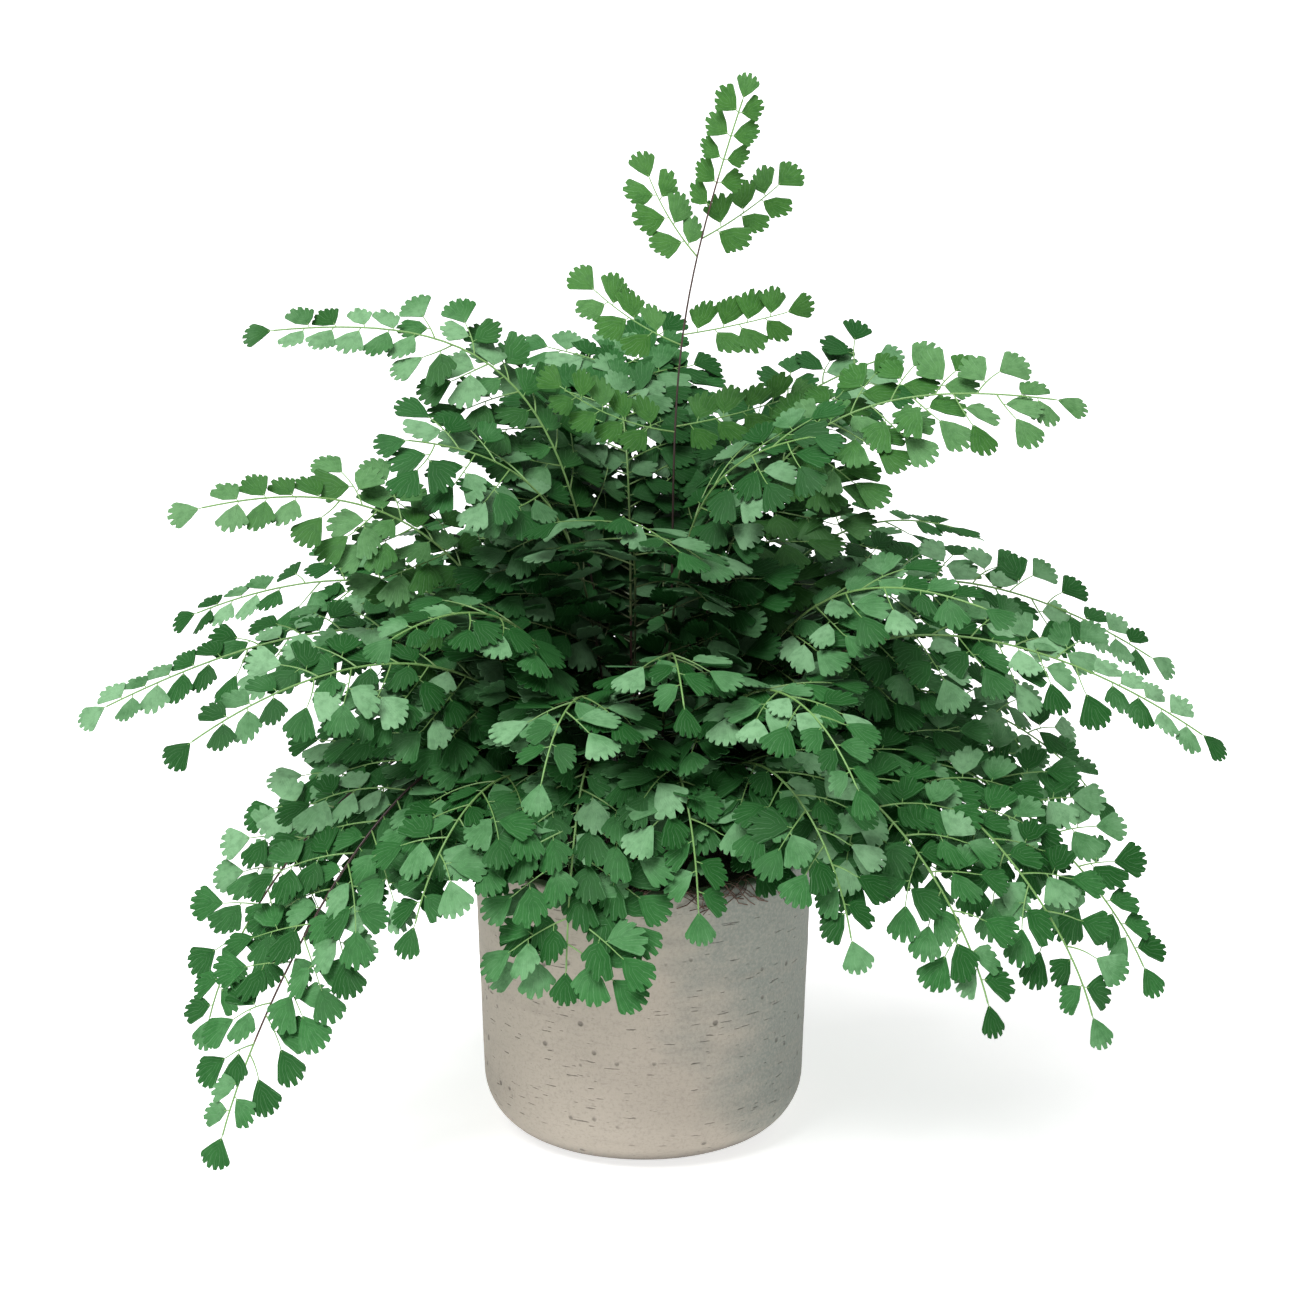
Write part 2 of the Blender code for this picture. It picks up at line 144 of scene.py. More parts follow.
# Where leaflets turn to the light and where they miss it and get painted shade, from not at all to
# fully, in metres, and how strongly they follow their blade and the light
FRONT_HALF = (0.12, 0)
OUTER_SIDES = (0.09, 0.21)
PLANT_TOP = (0.29, 0.35)
BACK_HALF = (0.02, 0.07)
UPPER_BACK = (0.22, 0.3)
DARK_MIDDLE = (0.13, 0.06)
DARK_UNDER = (0.37, 0.24)
MIDDLE_Y = 0.02
BLADE_PULL = 0.65
LIGHT_PULL = 0.5

# What varies from one to the next: the least and the most. Angles are in degrees, leaflet stalks
# in millimetres, slopes in rise over run, droops as BLADE_ARCH is, and the rest in shares
MIDRIB_LEAFLET_SIZES = (0.84, 0.98)
MIDRIB_LEAFLET_FANS = (60, 72)
MIDRIB_LEAFLET_SLOPES = (-0.1, 0.1)
MIDRIB_LEAFLET_STEPS = (0.88, 1.0)
ROW_LEAFLET_SIZES = (0.9, 1.05)
ROW_LEAFLET_FANS = (60, 73)
TIP_LEAFLET_SIZES = (0.95, 1.05)
STEPS_AND_GAPS = (0.93, 1.07)
SIDE_STALK_REACHES = (0.92, 1.06)
SIDE_STALK_LEANS = (56, 68)
SIDE_STALK_BENDS = (6, 24)
SIDE_STALK_LIFTS = (-12, 12)
SIDE_STALK_DROOPS = (1.0, 3.0)
LEAF_STALK_LENGTHS = (1.2, 2.2)


class Frond(NamedTuple):
    """Where a frond goes. Angles are in degrees and lengths in millimetres.

    heading is the compass direction of the tip from the pot's axis, 0 at +X and 90 at +Y.
    launch and landing are the slopes of the midrib above the horizontal at its two ends.
    roll turns the blade about the midrib, and width is the reach of its side stalks, which a
    Habit scales. bare is the share of the midrib below the blade, and arch makes the midrib rise
    higher between its ends.
    """

    heading: float
    reach: float
    tip: float
    launch: float
    landing: float
    roll: float
    width: float
    bare: float
    arch: float = 1


# Each ring of the crown: the radius at which its stems stand, and its fronds in order of heading.
# A frond's numbers are heading, reach, tip, launch, landing, roll, width, bare and arch.
RINGS = {
    "crown": (
        11,
        (
            Frond(0, 42, 457, 88, 72, 90, 60, 0.54),
            Frond(30, 120, 336, 82, 12, 15, 42, 0.42),
            Frond(100, 95, 335, 84, 15, 0, 44, 0.42),
            Frond(175, 160, 357, 86, -6, -35, 42, 0.44, 1.15),
            Frond(205, 108, 320, 84, 10, -40, 44, 0.42),
            Frond(262, 58, 290, 86, 20, 0, 44, 0.42),
            Frond(325, 85, 322, 84, 15, 40, 44, 0.42),
            Frond(353, 176, 333, 84, -6, 35, 42, 0.44, 1.1),
        ),
    ),
    "middle": (
        26,
        (
            Frond(9, 230, 206, 80, -34, 40, 44, 0.38, 1.1),
            Frond(40, 195, 245, 76, -20, 10, 44, 0.38),
            Frond(80, 178, 215, 76, -35, 0, 46, 0.38),
            Frond(125, 185, 240, 76, -25, 0, 46, 0.38),
            Frond(163, 212, 220, 76, -24, -35, 42, 0.38),
            Frond(183, 234, 196, 76, -26, -25, 40, 0.38),
            Frond(192, 190, 290, 76, -10, -50, 44, 0.38),
            Frond(204, 205, 200, 76, -30, -40, 44, 0.38),
            Frond(226, 145, 250, 80, -15, -20, 46, 0.34),
            Frond(252, 132, 195, 80, -55, 0, 46, 0.34, 1.2),
            Frond(278, 120, 225, 82, -40, 0, 46, 0.34, 1.1),
            Frond(303, 158, 195, 80, -50, 10, 46, 0.34, 1.1),
            Frond(328, 165, 258, 78, -12, 40, 44, 0.36),
            Frond(354, 243, 187, 76, -34, 30, 42, 0.38),
        ),
    ),
    "outer": (
        41,
        (
            Frond(12, 210, 138, 76, -56, 45, 44, 0.35),
            Frond(42, 190, 70, 72, -64, 0, 44, 0.35),
            Frond(73, 182, 85, 72, -60, 0, 44, 0.35),
            Frond(104, 178, 65, 72, -64, 0, 44, 0.35),
            Frond(135, 188, 85, 72, -62, 0, 44, 0.35),
            Frond(166, 172, 110, 76, -62, -40, 44, 0.35),
            Frond(193, 194, 64, 76, -76, -50, 44, 0.34, 1.15),
            Frond(212, 208, 36, 76, -72, -25, 46, 0.38, 1.15),
            Frond(230, 146, 130, 74, -70, -15, 44, 0.3, 1.3),
            Frond(255, 122, 112, 80, -84, 0, 40, 0.36, 2.1),
            Frond(281, 120, 138, 78, -80, 0, 38, 0.34, 1.9),
            Frond(303, 156, 130, 76, -74, 15, 42, 0.3, 1.4),
            Frond(320, 186, 98, 74, -72, 30, 44, 0.32, 1.2),
            Frond(333, 212, 84, 74, -74, 35, 46, 0.34, 1.1),
            Frond(347, 222, 90, 74, -66, 45, 44, 0.34),
        ),
    ),
}


class Habit(NamedTuple):
    """How a frond fills its blade.

    A side stalk reaches widest times the frond's width at the blade's start, and narrowing times
    the width less at its tip. leaflet, step and side_gap scale the leaflets, the gaps between
    them and the gaps between side stalks. The lowest side stalk on one side stands at the share
    first of the bare midrib, and the other side's stagger gaps further on. Up to branched, a
    share of the leafy stretch, there are side stalks, and up to infill a leaflet stands between
    two of them. A paired frond has its side stalks in pairs that close towards its tip, and a
    filled one has extra leaflets close to its midrib. youth is how yellow-green its leaflets
    are, and its midrib is green from the share green_from of its length.
    """

    widest: float = 1.6
    narrowing: float = 1.15
    leaflet: float = 1
    step: float = 1
    side_gap: float = 1
    stagger: float = 0.5
    first: float = 0.42
    branched: float = 1
    infill: float = 0.62
    paired: bool = False
    filled: bool = False
    youth: float = 0.1
    green_from: float = 0.4


# The habit of each ring's fronds, and of the single fronds that differ
HABITS = {
    "frond_crown": Habit(narrowing=0.9),
    "frond_middle": Habit(narrowing=1.25),
    "frond_outer": Habit(),
    "frond_crown_01": Habit(
        widest=1.15,
        narrowing=0.55,
        leaflet=0.84,
        step=0.86,
        side_gap=40 / 18,
        stagger=0.06,
        first=1.03,
        branched=0.6,
        infill=0,
        paired=True,
        youth=0.85,
        green_from=0.9,
    ),
    "frond_crown_03": Habit(widest=1.7, narrowing=0.5, side_gap=0.6, filled=True),
    "frond_crown_04": Habit(narrowing=1.25, youth=0.25),
    "frond_crown_06": Habit(widest=1.8, narrowing=0.7),
    "frond_crown_08": Habit(narrowing=1.0, youth=0.65),
    "frond_middle_07": Habit(narrowing=1.25, youth=0.6),
    "frond_outer_07": Habit(green_from=0.8),
    "frond_outer_08": Habit(green_from=0.85),
    "frond_outer_10": Habit(widest=1.5, narrowing=0.55, side_gap=0.72),
}


class LeafletShape(NamedTuple):
    """A leaflet's fan: half its spread in degrees, how full it is, its breadth and its teeth.

    A breadth of 1 makes an even fan. A smaller one makes a lopsided fan, with one side shorter.
    notch is how deep the gaps between teeth are, and cleft how much deeper the middle ones are.
    """

    half_fan: float
    fullness: float
    breadth: float
    teeth: int
    notch: float
    cleft: float


SIDE_LEAFLETS = (
    LeafletShape(41, 1.22, 0.70, 6, 0.10, 0.04),
    LeafletShape(39, 1.33, 0.62, 5, 0.13, 0.05),
    LeafletShape(43, 1.18, 0.76, 5, 0.13, 0.08),
    LeafletShape(38, 1.36, 0.58, 4, 0.13, 0.04),
)
END_LEAFLETS = (
    LeafletShape(40, 1.1, 1, 6, 0.10, 0.05),
    LeafletShape(35, 1.2, 1, 5, 0.12, 0.08),
)

# A leaflet's other numbers, in its own length or in shares: an even fan's edge falls back towards
# its corners, and a lopsided one's follows a superellipse of this power
EVEN_REACH = 0.98
EVEN_FALL = 0.2
LOPSIDED_REACH = 0.96
LOPSIDED_POWER = 4
CORNER_REACH = 0.95
MIDDLE_REACH = 0.46
TOOTH_TOPS = (0.26, 0.74)
NECK_HALF = 0.035
LEAFLET_THICKNESS = 0.022
CUPS = (0.22, 0.05, 0.35)
CUP_ALONG = 0.35
VEIN_COUNTS = (7, 17)

# Where painted light and painted shade change the colour of the foliage and the stalks: distances
# from the axis and heights, in metres
OUTER_FOLIAGE = (0.1, 0.24)
LOW_FOLIAGE = (0.09, 0.22)
HIGH_FOLIAGE = (0.3, 0.34)
INNER_STALKS = (0.05, 0.12)
HIGH_STALKS = (0.24, 0.32)
BROWN_STALK = (0.105, 0.048, 0.030)

# Dry roots on the compost and over the front of the rim, with angles in radians
ROOT_SEED = 5
ROOT_SHAPES = 5
ROOT_STEPS = 8
ROOT_STEP = 2 * MM
ROOT_HALF = 0.26 * MM
ROOT_TIP_HALF = 0.1 * MM
ROOT_SIDES = 5
ROOT_LEANS = (0.1, 0.4)
ROOT_BENDS = (-0.7, 0.8)
ROOT_SINKS = (0.0, 0.16)
ROOT_TILT = 0.35
ROOT_SCALES = (0.6, 1.5)
ROOT_BED = (8 * MM, 35 * MM, 62 * MM)
ROOT_BED_CLEAR = 0.3 * MM
ROOT_BED_SIDES = 48
SQUARE_METRE = 100.0  # in square decimetres
LITTER_SEED = 3
RIM_ROOT_SEED = 8
RIM_ROOTS = 38
RIM_ROOT_HEADINGS = (270, 320)  # degrees
RIM_ROOT_SWEEPS = (0.12, 0.5)
RIM_ROOT_DROPS = (1, 10)  # millimetres
RIM_ROOT_WOBBLE = 0.025
RIM_ROOT_HALVES = (0.18, 0.32)  # millimetres

# Stage
FLOOR_HALF = 100
FLOOR_DROP = 0.2 * MM
FLOOR_TONES = (0.78, 0.82)
FLOOR_GLOW = 0.7
SUN_DIRECTION = (0.42, 0.5, -1.0)
SUN_SPREAD = 32
TOP_LIGHT_PLACE = Vector((0.1, -0.2, 1.6))
TOP_LIGHT_AIM = Vector((0, 0, 0.2))
TOP_LIGHT_SIZE = 1.0
CAMERA_PLACE = (0.003, -1.5, 0.595)
CAMERA_PITCH = 75.9
CAMERA_LENS = 97.9
CAMERA_FAR = 500


# ---------------------------------------------------------------- settings

COLOUR = {"subtype": "COLOR", "min": 0, "max": 1}


class FrondSettings(bpy.types.PropertyGroup):
    leaflet_size: bpy.props.FloatProperty(
        name="Leaflet Size",
        description="Length of a full leaflet from its stalk to its toothed edge",
        default=16.5 * MM,
        min=5 * MM,
        max=30 * MM,
        unit="LENGTH",
    )
    leaflet_gap: bpy.props.FloatProperty(
        name="Leaflet Gap",
        description="Distance between neighbouring leaflets on one side of a stalk",
        default=12.8 * MM,
        min=6 * MM,
        max=30 * MM,
        unit="LENGTH",
    )
    side_stalk_gap: bpy.props.FloatProperty(
        name="Side Stalk Gap",
        description="Distance between neighbouring side stalks on one side of a midrib",
        default=18 * MM,
        min=15 * MM,
        max=80 * MM,
        unit="LENGTH",
    )
    tilt: bpy.props.FloatProperty(
        name="Tilt",
        description="How far a leaflet may turn out of the plane of its frond",
        default=math.radians(14),
        min=0,
        max=math.radians(60),
        subtype="ANGLE",
    )
    seed: bpy.props.IntProperty(
        name="Seed",
        description="Picks another set of leaflets and small bends",
        default=11,
    )
    # shade, made darker, is also the painted shade on the leaflets in the middle of the plant
    shade: bpy.props.FloatVectorProperty(
        name="Darkest Leaf",
        description="Colour of the oldest leaflets",
        default=(0.005, 0.060, 0.009),
        **COLOUR,
    )
    green: bpy.props.FloatVectorProperty(
        name="Leaf",
        description="Colour of most leaflets",
        default=(0.044, 0.194, 0.051),
        **COLOUR,
    )
    # mint is also the colour of the painted light on the high and outer leaflets
    mint: bpy.props.FloatVectorProperty(
        name="Lightest Leaf",
        description="Colour of the palest leaflets and of the veins",
        default=(0.268, 0.480, 0.274),
        **COLOUR,
    )
    young: bpy.props.FloatVectorProperty(
        name="Young Leaf",
        description="Colour of the leaflets on young fronds",
        default=(0.052, 0.165, 0.027),
        **COLOUR,
    )
    # old_stalk is also the painted shade on the stalks in the low middle of the plant
    old_stalk: bpy.props.FloatVectorProperty(
        name="Old Stalk",
        description="Colour of a stem near the compost",
        default=(0.028, 0.013, 0.011),
        **COLOUR,
    )
    young_stalk: bpy.props.FloatVectorProperty(
        name="Young Stalk",
        description="Colour of the finest stalks near the tips",
        default=(0.165, 0.325, 0.092),
        **COLOUR,
    )


class PotSettings(bpy.types.PropertyGroup):
    sides: bpy.props.IntProperty(
        name="Sides",
        description="Number of faces round the pot",
        default=144,
        min=24,
        max=256,
    )
    unevenness: bpy.props.FloatProperty(
        name="Unevenness",
        description="How deep the hollows of the cast wall are",
        default=0.35 * MM,
        min=0,
        max=2 * MM,
        unit="LENGTH",
    )
    sand: bpy.props.FloatVectorProperty(
        name="Sand",
        description="Main colour of the concrete",
        default=(0.415, 0.368, 0.308),
        **COLOUR,
    )
    # cement is also painted shade on the right side and the top of the pot
    cement: bpy.props.FloatVectorProperty(
        name="Cement",
        description="Colour of the greyer clouds in the concrete",
        default=(0.215, 0.240, 0.215),
        **COLOUR,
    )


class CompostSettings(bpy.types.PropertyGroup):
    peat: bpy.props.FloatVectorProperty(
        name="Peat",
        description="Colour of the compost",
        default=(0.030, 0.018, 0.011),
        **COLOUR,
    )
    fibre: bpy.props.FloatVectorProperty(
        name="Fibre",
        description="Colour of the dry roots on the compost",
        default=(0.150, 0.085, 0.060),
        **COLOUR,
    )
    fibre_count: bpy.props.IntProperty(
        name="Fibres",
        description="Dry roots to a square decimetre of compost",
        default=220,
        min=0,
        max=1000,
    )


class StageSettings(bpy.types.PropertyGroup):
    daylight: bpy.props.FloatProperty(
        name="Daylight",
        description="Strength of the even white light from all round",
        default=0.24,
        min=0,
        max=5,
    )
    key: bpy.props.FloatProperty(
        name="Key Light",
        description="Strength of the soft light from above the front left",
        default=3.3,
        min=0,
        max=20,
    )
    fill: bpy.props.FloatProperty(
        name="Top Light",
        description="Power of the soft light overhead",
        default=8,
        min=0,
        max=500,
        unit="POWER",
    )


# ---------------------------------------------------------------- node trees


class Wire:
    """A node's output. Arithmetic on it adds Math nodes to its tree."""

    def __init__(self, nodes, socket):
        self.nodes = nodes
        self.socket = socket

    def __add__(self, other):
        return self.nodes.math("ADD", self, other)

    def __sub__(self, other):
        return self.nodes.math("SUBTRACT", self, other)

    def __rsub__(self, other):
        return self.nodes.math("SUBTRACT", other, self)

    def __mul__(self, other):
        return self.nodes.math("MULTIPLY", self, other)

    __radd__ = __add__
    __rmul__ = __mul__

    def over(self, low, high):
        """0 where the value is under low, 1 where it is over high, and smooth between."""
        settings = {"interpolation_type": "SMOOTHSTEP"}
        values = {"Value": self, "From Min": low, "From Max": high}
        return self.nodes.add("ShaderNodeMapRange", settings, values)

    def part(self, axis):
        """A vector's X, Y or Z, by its number."""
        return self.nodes.add("ShaderNodeSeparateXYZ", None, {0: self}, axis)


class Nodes:
    """Adds nodes to one tree, for a material or for Geometry Nodes."""

    def __init__(self, tree):
        self.tree = tree
        tree.nodes.clear()

    def add(self, kind, settings=None, values=None, output=0):
        """Adds a node: first its settings, then the values or wires of its sockets."""
        node = self.tree.nodes.new(kind)
        for name, setting in (settings or {}).items():
            setattr(node, name, setting)
        for name, value in (values or {}).items():
            socket = pick(node.inputs, name)
            if isinstance(value, Wire):
                self.tree.links.new(value.socket, socket)
            else:
                socket.default_value = value
        return Wire(self, pick(node.outputs, output)) if node.outputs else node

    def math(self, operation, *values):
        return self.add("ShaderNodeMath", {"operation": operation}, dict(enumerate(values)))

    def mix(self, factor, first, second):
        values = {"Factor": factor, "A": first, "B": second}
        return self.add("ShaderNodeMix", {"data_type": "RGBA"}, values, "Result")

    def noise(self, where, scale, detail=3.0, roughness=0.5):
        values = {"Vector": where, "Scale": scale, "Detail": detail, "Roughness": roughness}
        return self.add("ShaderNodeTexNoise", None, values)

    def cells(self, where, scale, output="Distance"):
        values = {"Vector": where, "Scale": scale, "Randomness": 1.0}
        return self.add("ShaderNodeTexVoronoi", None, values, output)

    def attribute(self, name):
        return self.add("ShaderNodeAttribute", {"attribute_name": name}, None, "Fac")

    def place(self, stretch=(1, 1, 1)):
        where = self.add("ShaderNodeTexCoord", None, None, "Object")
        return self.add("ShaderNodeMapping", None, {"Vector": where, "Scale": stretch})

    def from_axis(self):
        """How far a place is from the pot's axis."""
        level = {0: self.place((1, 1, 0))}
        return self.add("ShaderNodeVectorMath", {"operation": "LENGTH"}, level, "Value")

    def surface(self, values, height, depth):
        """A Principled shader with these sockets, and a bump of this depth from a height."""
        bump = {"Height": height, "Distance": depth, "Strength": 1.0}
        self.shader({**values, "Normal": self.add("ShaderNodeBump", None, bump)})

    def shader(self, values):
        shader = self.add("ShaderNodeBsdfPrincipled", None, values)
        self.add("ShaderNodeOutputMaterial", None, {"Surface": shader})

    def stored(self, name, kind="FLOAT"):
        """An attribute of the mesh, in Geometry Nodes."""
        return self.add("GeometryNodeInputNamedAttribute", {"data_type": kind}, {"Name": name})

    def random(self, values, kind="FLOAT"):
        return self.add("FunctionNodeRandomValue", {"data_type": kind}, values, "Value")

    def copies(self, points, templates, values):
        """Copies of a collection's members, one on each point."""
        chosen = {"Collection": templates, "Separate Children": True, "Reset Children": True}
        values = {
            "Points": points,
            "Instance": self.add("GeometryNodeCollectionInfo", None, chosen),
            "Pick Instance": True,
            **values,
        }
        return self.add("GeometryNodeInstanceOnPoints", None, values)


def pick(sockets, key):
    """A node's socket by number, or the one in use that has this name."""
    if isinstance(key, int):
        return sockets[key]
    return next(socket for socket in sockets if socket.name == key and socket.enabled)


def rgba(colour, gain=1.0):
    return (*(channel * gain for channel in colour), 1)


def neutral(value):
    return (value, value, value, 1)


def new_material(name):
    material = bpy.data.materials.new(name)
    material.use_nodes = True
    return material, Nodes(material.node_tree)


def new_tree(name, sockets):
    """A Geometry Nodes tree with a mesh going in and out, and its named inputs as wires."""
    tree = bpy.data.node_groups.new(name, "GeometryNodeTree")
    tree.interface.new_socket("Mesh", in_out="INPUT", socket_type="NodeSocketGeometry")
    tree.interface.new_socket("Mesh", in_out="OUTPUT", socket_type="NodeSocketGeometry")
    for label, kind in sockets.items():
        tree.interface.new_socket(label, in_out="INPUT", socket_type=f"NodeSocket{kind}")
    nodes = Nodes(tree)
    start = tree.nodes.new("NodeGroupInput")
    return nodes, {item.name: Wire(nodes, item) for item in start.outputs if item.name}


def end_tree(nodes, made, material):
    made = nodes.add("GeometryNodeRealizeInstances", None, {"Geometry": made})
    made = nodes.add("GeometryNodeSetMaterial", None, {"Geometry": made, "Material": material})
    nodes.add("NodeGroupOutput", None, {0: made})
    return nodes.tree


def grow(mesh, tree, values):
    """The plain mesh that a Geometry Nodes tree makes from a mesh."""
    source = bpy.data.objects.new("source", mesh)
    bpy.context.scene.collection.objects.link(source)
    modifier = source.modifiers.new(tree.name, "NODES")
    modifier.node_group = tree
    for item in tree.interface.items_tree:
        if item.in_out == "INPUT" and item.name in values:
            modifier[item.identifier] = values[item.name]
    graph = bpy.context.evaluated_depsgraph_get()
    grown = bpy.data.meshes.new_from_object(
        source.evaluated_get(graph), preserve_all_data_layers=True, depsgraph=graph
    )
    bpy.data.objects.remove(source)
    bpy.data.meshes.remove(mesh)
    return grown


def new_piece(name, mesh, node):
    """A finished piece that stands for a node of the frame."""
    mesh.name = name
    piece = bpy.data.objects.new(name, mesh)
    bpy.context.scene.collection.objects.link(piece)
    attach(piece, BODY)
    if node:
        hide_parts(node)
    return piece


# ---------------------------------------------------------------- shapes


def finished(bm, name, smooth=True):
    """The plain mesh of a bmesh, which is then freed."""
    for face in bm.faces:
        face.smooth = smooth
    mesh = bpy.data.meshes.new(name)
    bm.to_mesh(mesh)
    bm.free()
    return mesh


def turned(profile, sides):
    """A closed shape turned about Z from (radius, height) points, with a flat face at each end."""
    bm = bmesh.new()
    points = [bm.verts.new((radius, 0, height)) for radius, height in profile]
    edges = [bm.edges.new(pair) for pair in zip(points, points[1:])]
    bmesh.ops.spin(
        bm,
        geom=points + edges,
        cent=(0, 0, 0),
        axis=(0, 0, 1),
        angle=math.tau,
        steps=sides,
        use_merge=True,
    )
    bmesh.ops.holes_fill(bm, edges=bm.edges, sides=sides)
    bmesh.ops.recalc_face_normals(bm, faces=bm.faces)
    return bm


def arc(centre, radius, start, end, steps):
    """Points on part of a circle in the (radius, height) plane, with angles in degrees."""
    angles = [math.radians(start + (end - start) * k / steps) for k in range(steps + 1)]
    return [(centre[0] + radius * math.cos(a), centre[1] + radius * math.sin(a)) for a in angles]


def between(first, last, steps):
    """Points on the straight line from first to last, without its two ends."""
    (x, z), (last_x, last_z) = first, last
    return [(x + (last_x - x) * k / steps, z + (last_z - z) * k / steps) for k in range(1, steps)]


def round_axis(radius, sides):
    """Points evenly spaced on a circle round the axis."""
    angles = [math.tau * k / sides for k in range(sides)]
    return [(radius * math.cos(a), radius * math.sin(a)) for a in angles]


def compost_height(x, y):
    """Height of the compost's surface: a low mound with lumps."""
    share = math.hypot(x, y) / (POT_RADIUS - POT_WALL)
    lumps = COMPOST_LUMPS * noise.noise(Vector((x, y, 0)) / LUMP_SPACING)
    return COMPOST_EDGE + COMPOST_RISE * (1 - share**2) + lumps * (1 - share**4)


def ramp(value, start, end):
    """0 at start and before it, 1 at end and after it, and smooth between."""
    x = min(max((value - start) / (end - start), 0), 1)
    return x * x * (3 - 2 * x)


class Midrib:
    """A frond's midrib in the air, and the curved surface of the blade that it carries."""

    def __init__(self, frond, ring_radius, root_heading):
        heading = math.radians(frond.heading)
        self.frond = frond
        self.side = Vector((-math.sin(heading), math.cos(heading), 0))
        outward = Vector((math.cos(heading), math.sin(heading), 0))
        x = ring_radius * MM * math.cos(root_heading)
        y = ring_radius * MM * math.sin(root_heading)
        root = Vector((x, y, compost_height(x, y)))
        tip = outward * frond.reach * MM + Vector((0, 0, frond.tip * MM))
        span = (tip - root).length * frond.arch
        launch, landing = math.radians(frond.launch), math.radians(frond.landing)
        leaving = outward * math.cos(launch) + Vector((0, 0, math.sin(launch)))
        arriving = outward * math.cos(landing) + Vector((0, 0, math.sin(landing)))
        points = interpolate_bezier(
            root,
            root + leaving * span * LAUNCH_HANDLE,
            tip - arriving * span * LANDING_HANDLE,
            tip,
            MIDRIB_SAMPLES,
        )
        self.points = points
        self.stations = [0.0]
        for a, b in zip(points, points[1:]):
            self.stations.append(self.stations[-1] + (b - a).length)
        self.length = self.stations[-1]
        self.blade_start = frond.bare * self.length

    def point_and_tangent(self, s):
        """The point and the unit tangent at arc length s; the ends run on straight."""
        inside = min(max(s, 0), self.length)
        last = len(self.points) - 2
        k = min(sum(station <= inside for station in self.stations[1:]), last)
        step = self.stations[k + 1] - self.stations[k]
        share = (inside - self.stations[k]) / step
        before, after = max(k - 1, 0), min(k + 2, last + 1)
        here = (self.points[k + 1] - self.points[before]).normalized()
        there = (self.points[after] - self.points[k]).normalized()
        tangent = here.lerp(there, share).normalized()
        point = self.points[k].lerp(self.points[k + 1], share)
        return point + tangent * (s - inside), tangent

    def frame(self, s):
        """Point, tangent, sideways and upward directions of the blade at arc length s."""
        point, tangent = self.point_and_tangent(s)
        side = (self.side - tangent * self.side.dot(tangent)).normalized()
        turn = math.radians(self.frond.roll) * ramp(s, 0, self.blade_start)
        side = Matrix.Rotation(turn, 3, tangent) @ side
        return point, tangent, side, tangent.cross(side)

    def place(self, s, t, height):
        """The point in the air for s along the midrib, t across it and height above the blade."""
        point, _, side, up = self.frame(s)
        return point + side * t + up * (height - BLADE_ARCH * t * t)

    def directions(self, s, t):
        """Along, across and out of the blade at a place on it."""
        _, along, side, up = self.frame(s)
        across = (side - up * 2 * BLADE_ARCH * t).normalized()
        return along, across, along.cross(across)


def make_midribs():
    """The midribs of each ring, with the stems evenly spaced round it."""
    midribs = {}
    for ring, (radius, fronds) in RINGS.items():
        lean = sum(frond.heading - 360 * k / len(fronds) for k, frond in enumerate(fronds))
        start = lean / len(fronds)
        for k, frond in enumerate(fronds):
            root_heading = math.radians(start + 360 * k / len(fronds))
            midribs[f"frond_{ring}_{k + 1:02d}"] = Midrib(frond, radius, root_heading)
    return midribs


# ---------------------------------------------------------------- frond plans


class Stalk(NamedTuple):
    """A stem, side stalk or leaflet stalk: its points, with a radius and a youth at each."""

    points: list
    radii: list
    youth: list


class Seat(NamedTuple):
    """A leaflet's place, turn and size, which template it is, and how much painted shade it gets for
    sitting deep inside.
    """

    place: Vector
    turn: Matrix
    size: float
    kind: int
    shelter: float


def facing(place, out):
    """Where a leaflet's upper side points: partly as its blade does, and partly to the light."""
    away = Vector((place.x, place.y, 0)).normalized()
    at_front = ramp(place.y, *FRONT_HALF) * (0.08 + 0.62 * ramp(abs(place.x), *OUTER_SIDES))
    on_top = 0.7 * ramp(place.z, *PLANT_TOP)
    at_back = 0.95 * ramp(place.y, *BACK_HALF) * ramp(place.z, *UPPER_BACK)
    light = away * 0.25 + Vector((0, -max(at_front, on_top, at_back), 0.6))
    return (out * BLADE_PULL + light.normalized() * LIGHT_PULL).normalized()


def painted_shade_at(place):
    """Painted shade: from 0 among the outer foliage to 1 in the dark middle of the plant, low down.
    """
    from_middle = math.hypot(place.x, place.y - MIDDLE_Y)
    return ramp(from_middle, *DARK_MIDDLE) * ramp(place.z, *DARK_UNDER)


class SideStalk:
    """A side stalk's line: it leaves the midrib, bends towards the tip and droops a little."""

    def __init__(self, start, side, length, lean, bend, lift, droop):
        self.length = length
        self.lift = lift
        self.droop = droop
        s, t = start, 0
        self.line = [(s, t, 0, lean)]
        for k in range(SIDE_STALK_STEPS):
            angle = lean - bend * (k + 0.5) / SIDE_STALK_STEPS
            s += math.cos(angle) * length / SIDE_STALK_STEPS
            t += side * math.sin(angle) * length / SIDE_STALK_STEPS
            gone = length * (k + 1) / SIDE_STALK_STEPS
            height = gone * math.tan(lift) - droop * gone * gone
            self.line.append((s, t, height, angle))

    def at(self, gone):
        """Place on the blade, height above it and angle from the midrib at a length along it."""
        steps = gone / self.length * SIDE_STALK_STEPS
        k = min(int(steps), SIDE_STALK_STEPS - 1)
        return [a + (b - a) * (steps - k) for a, b in zip(self.line[k], self.line[k + 1])]

    def slope(self, gone):
        return math.tan(self.lift) - 2 * self.droop * gone


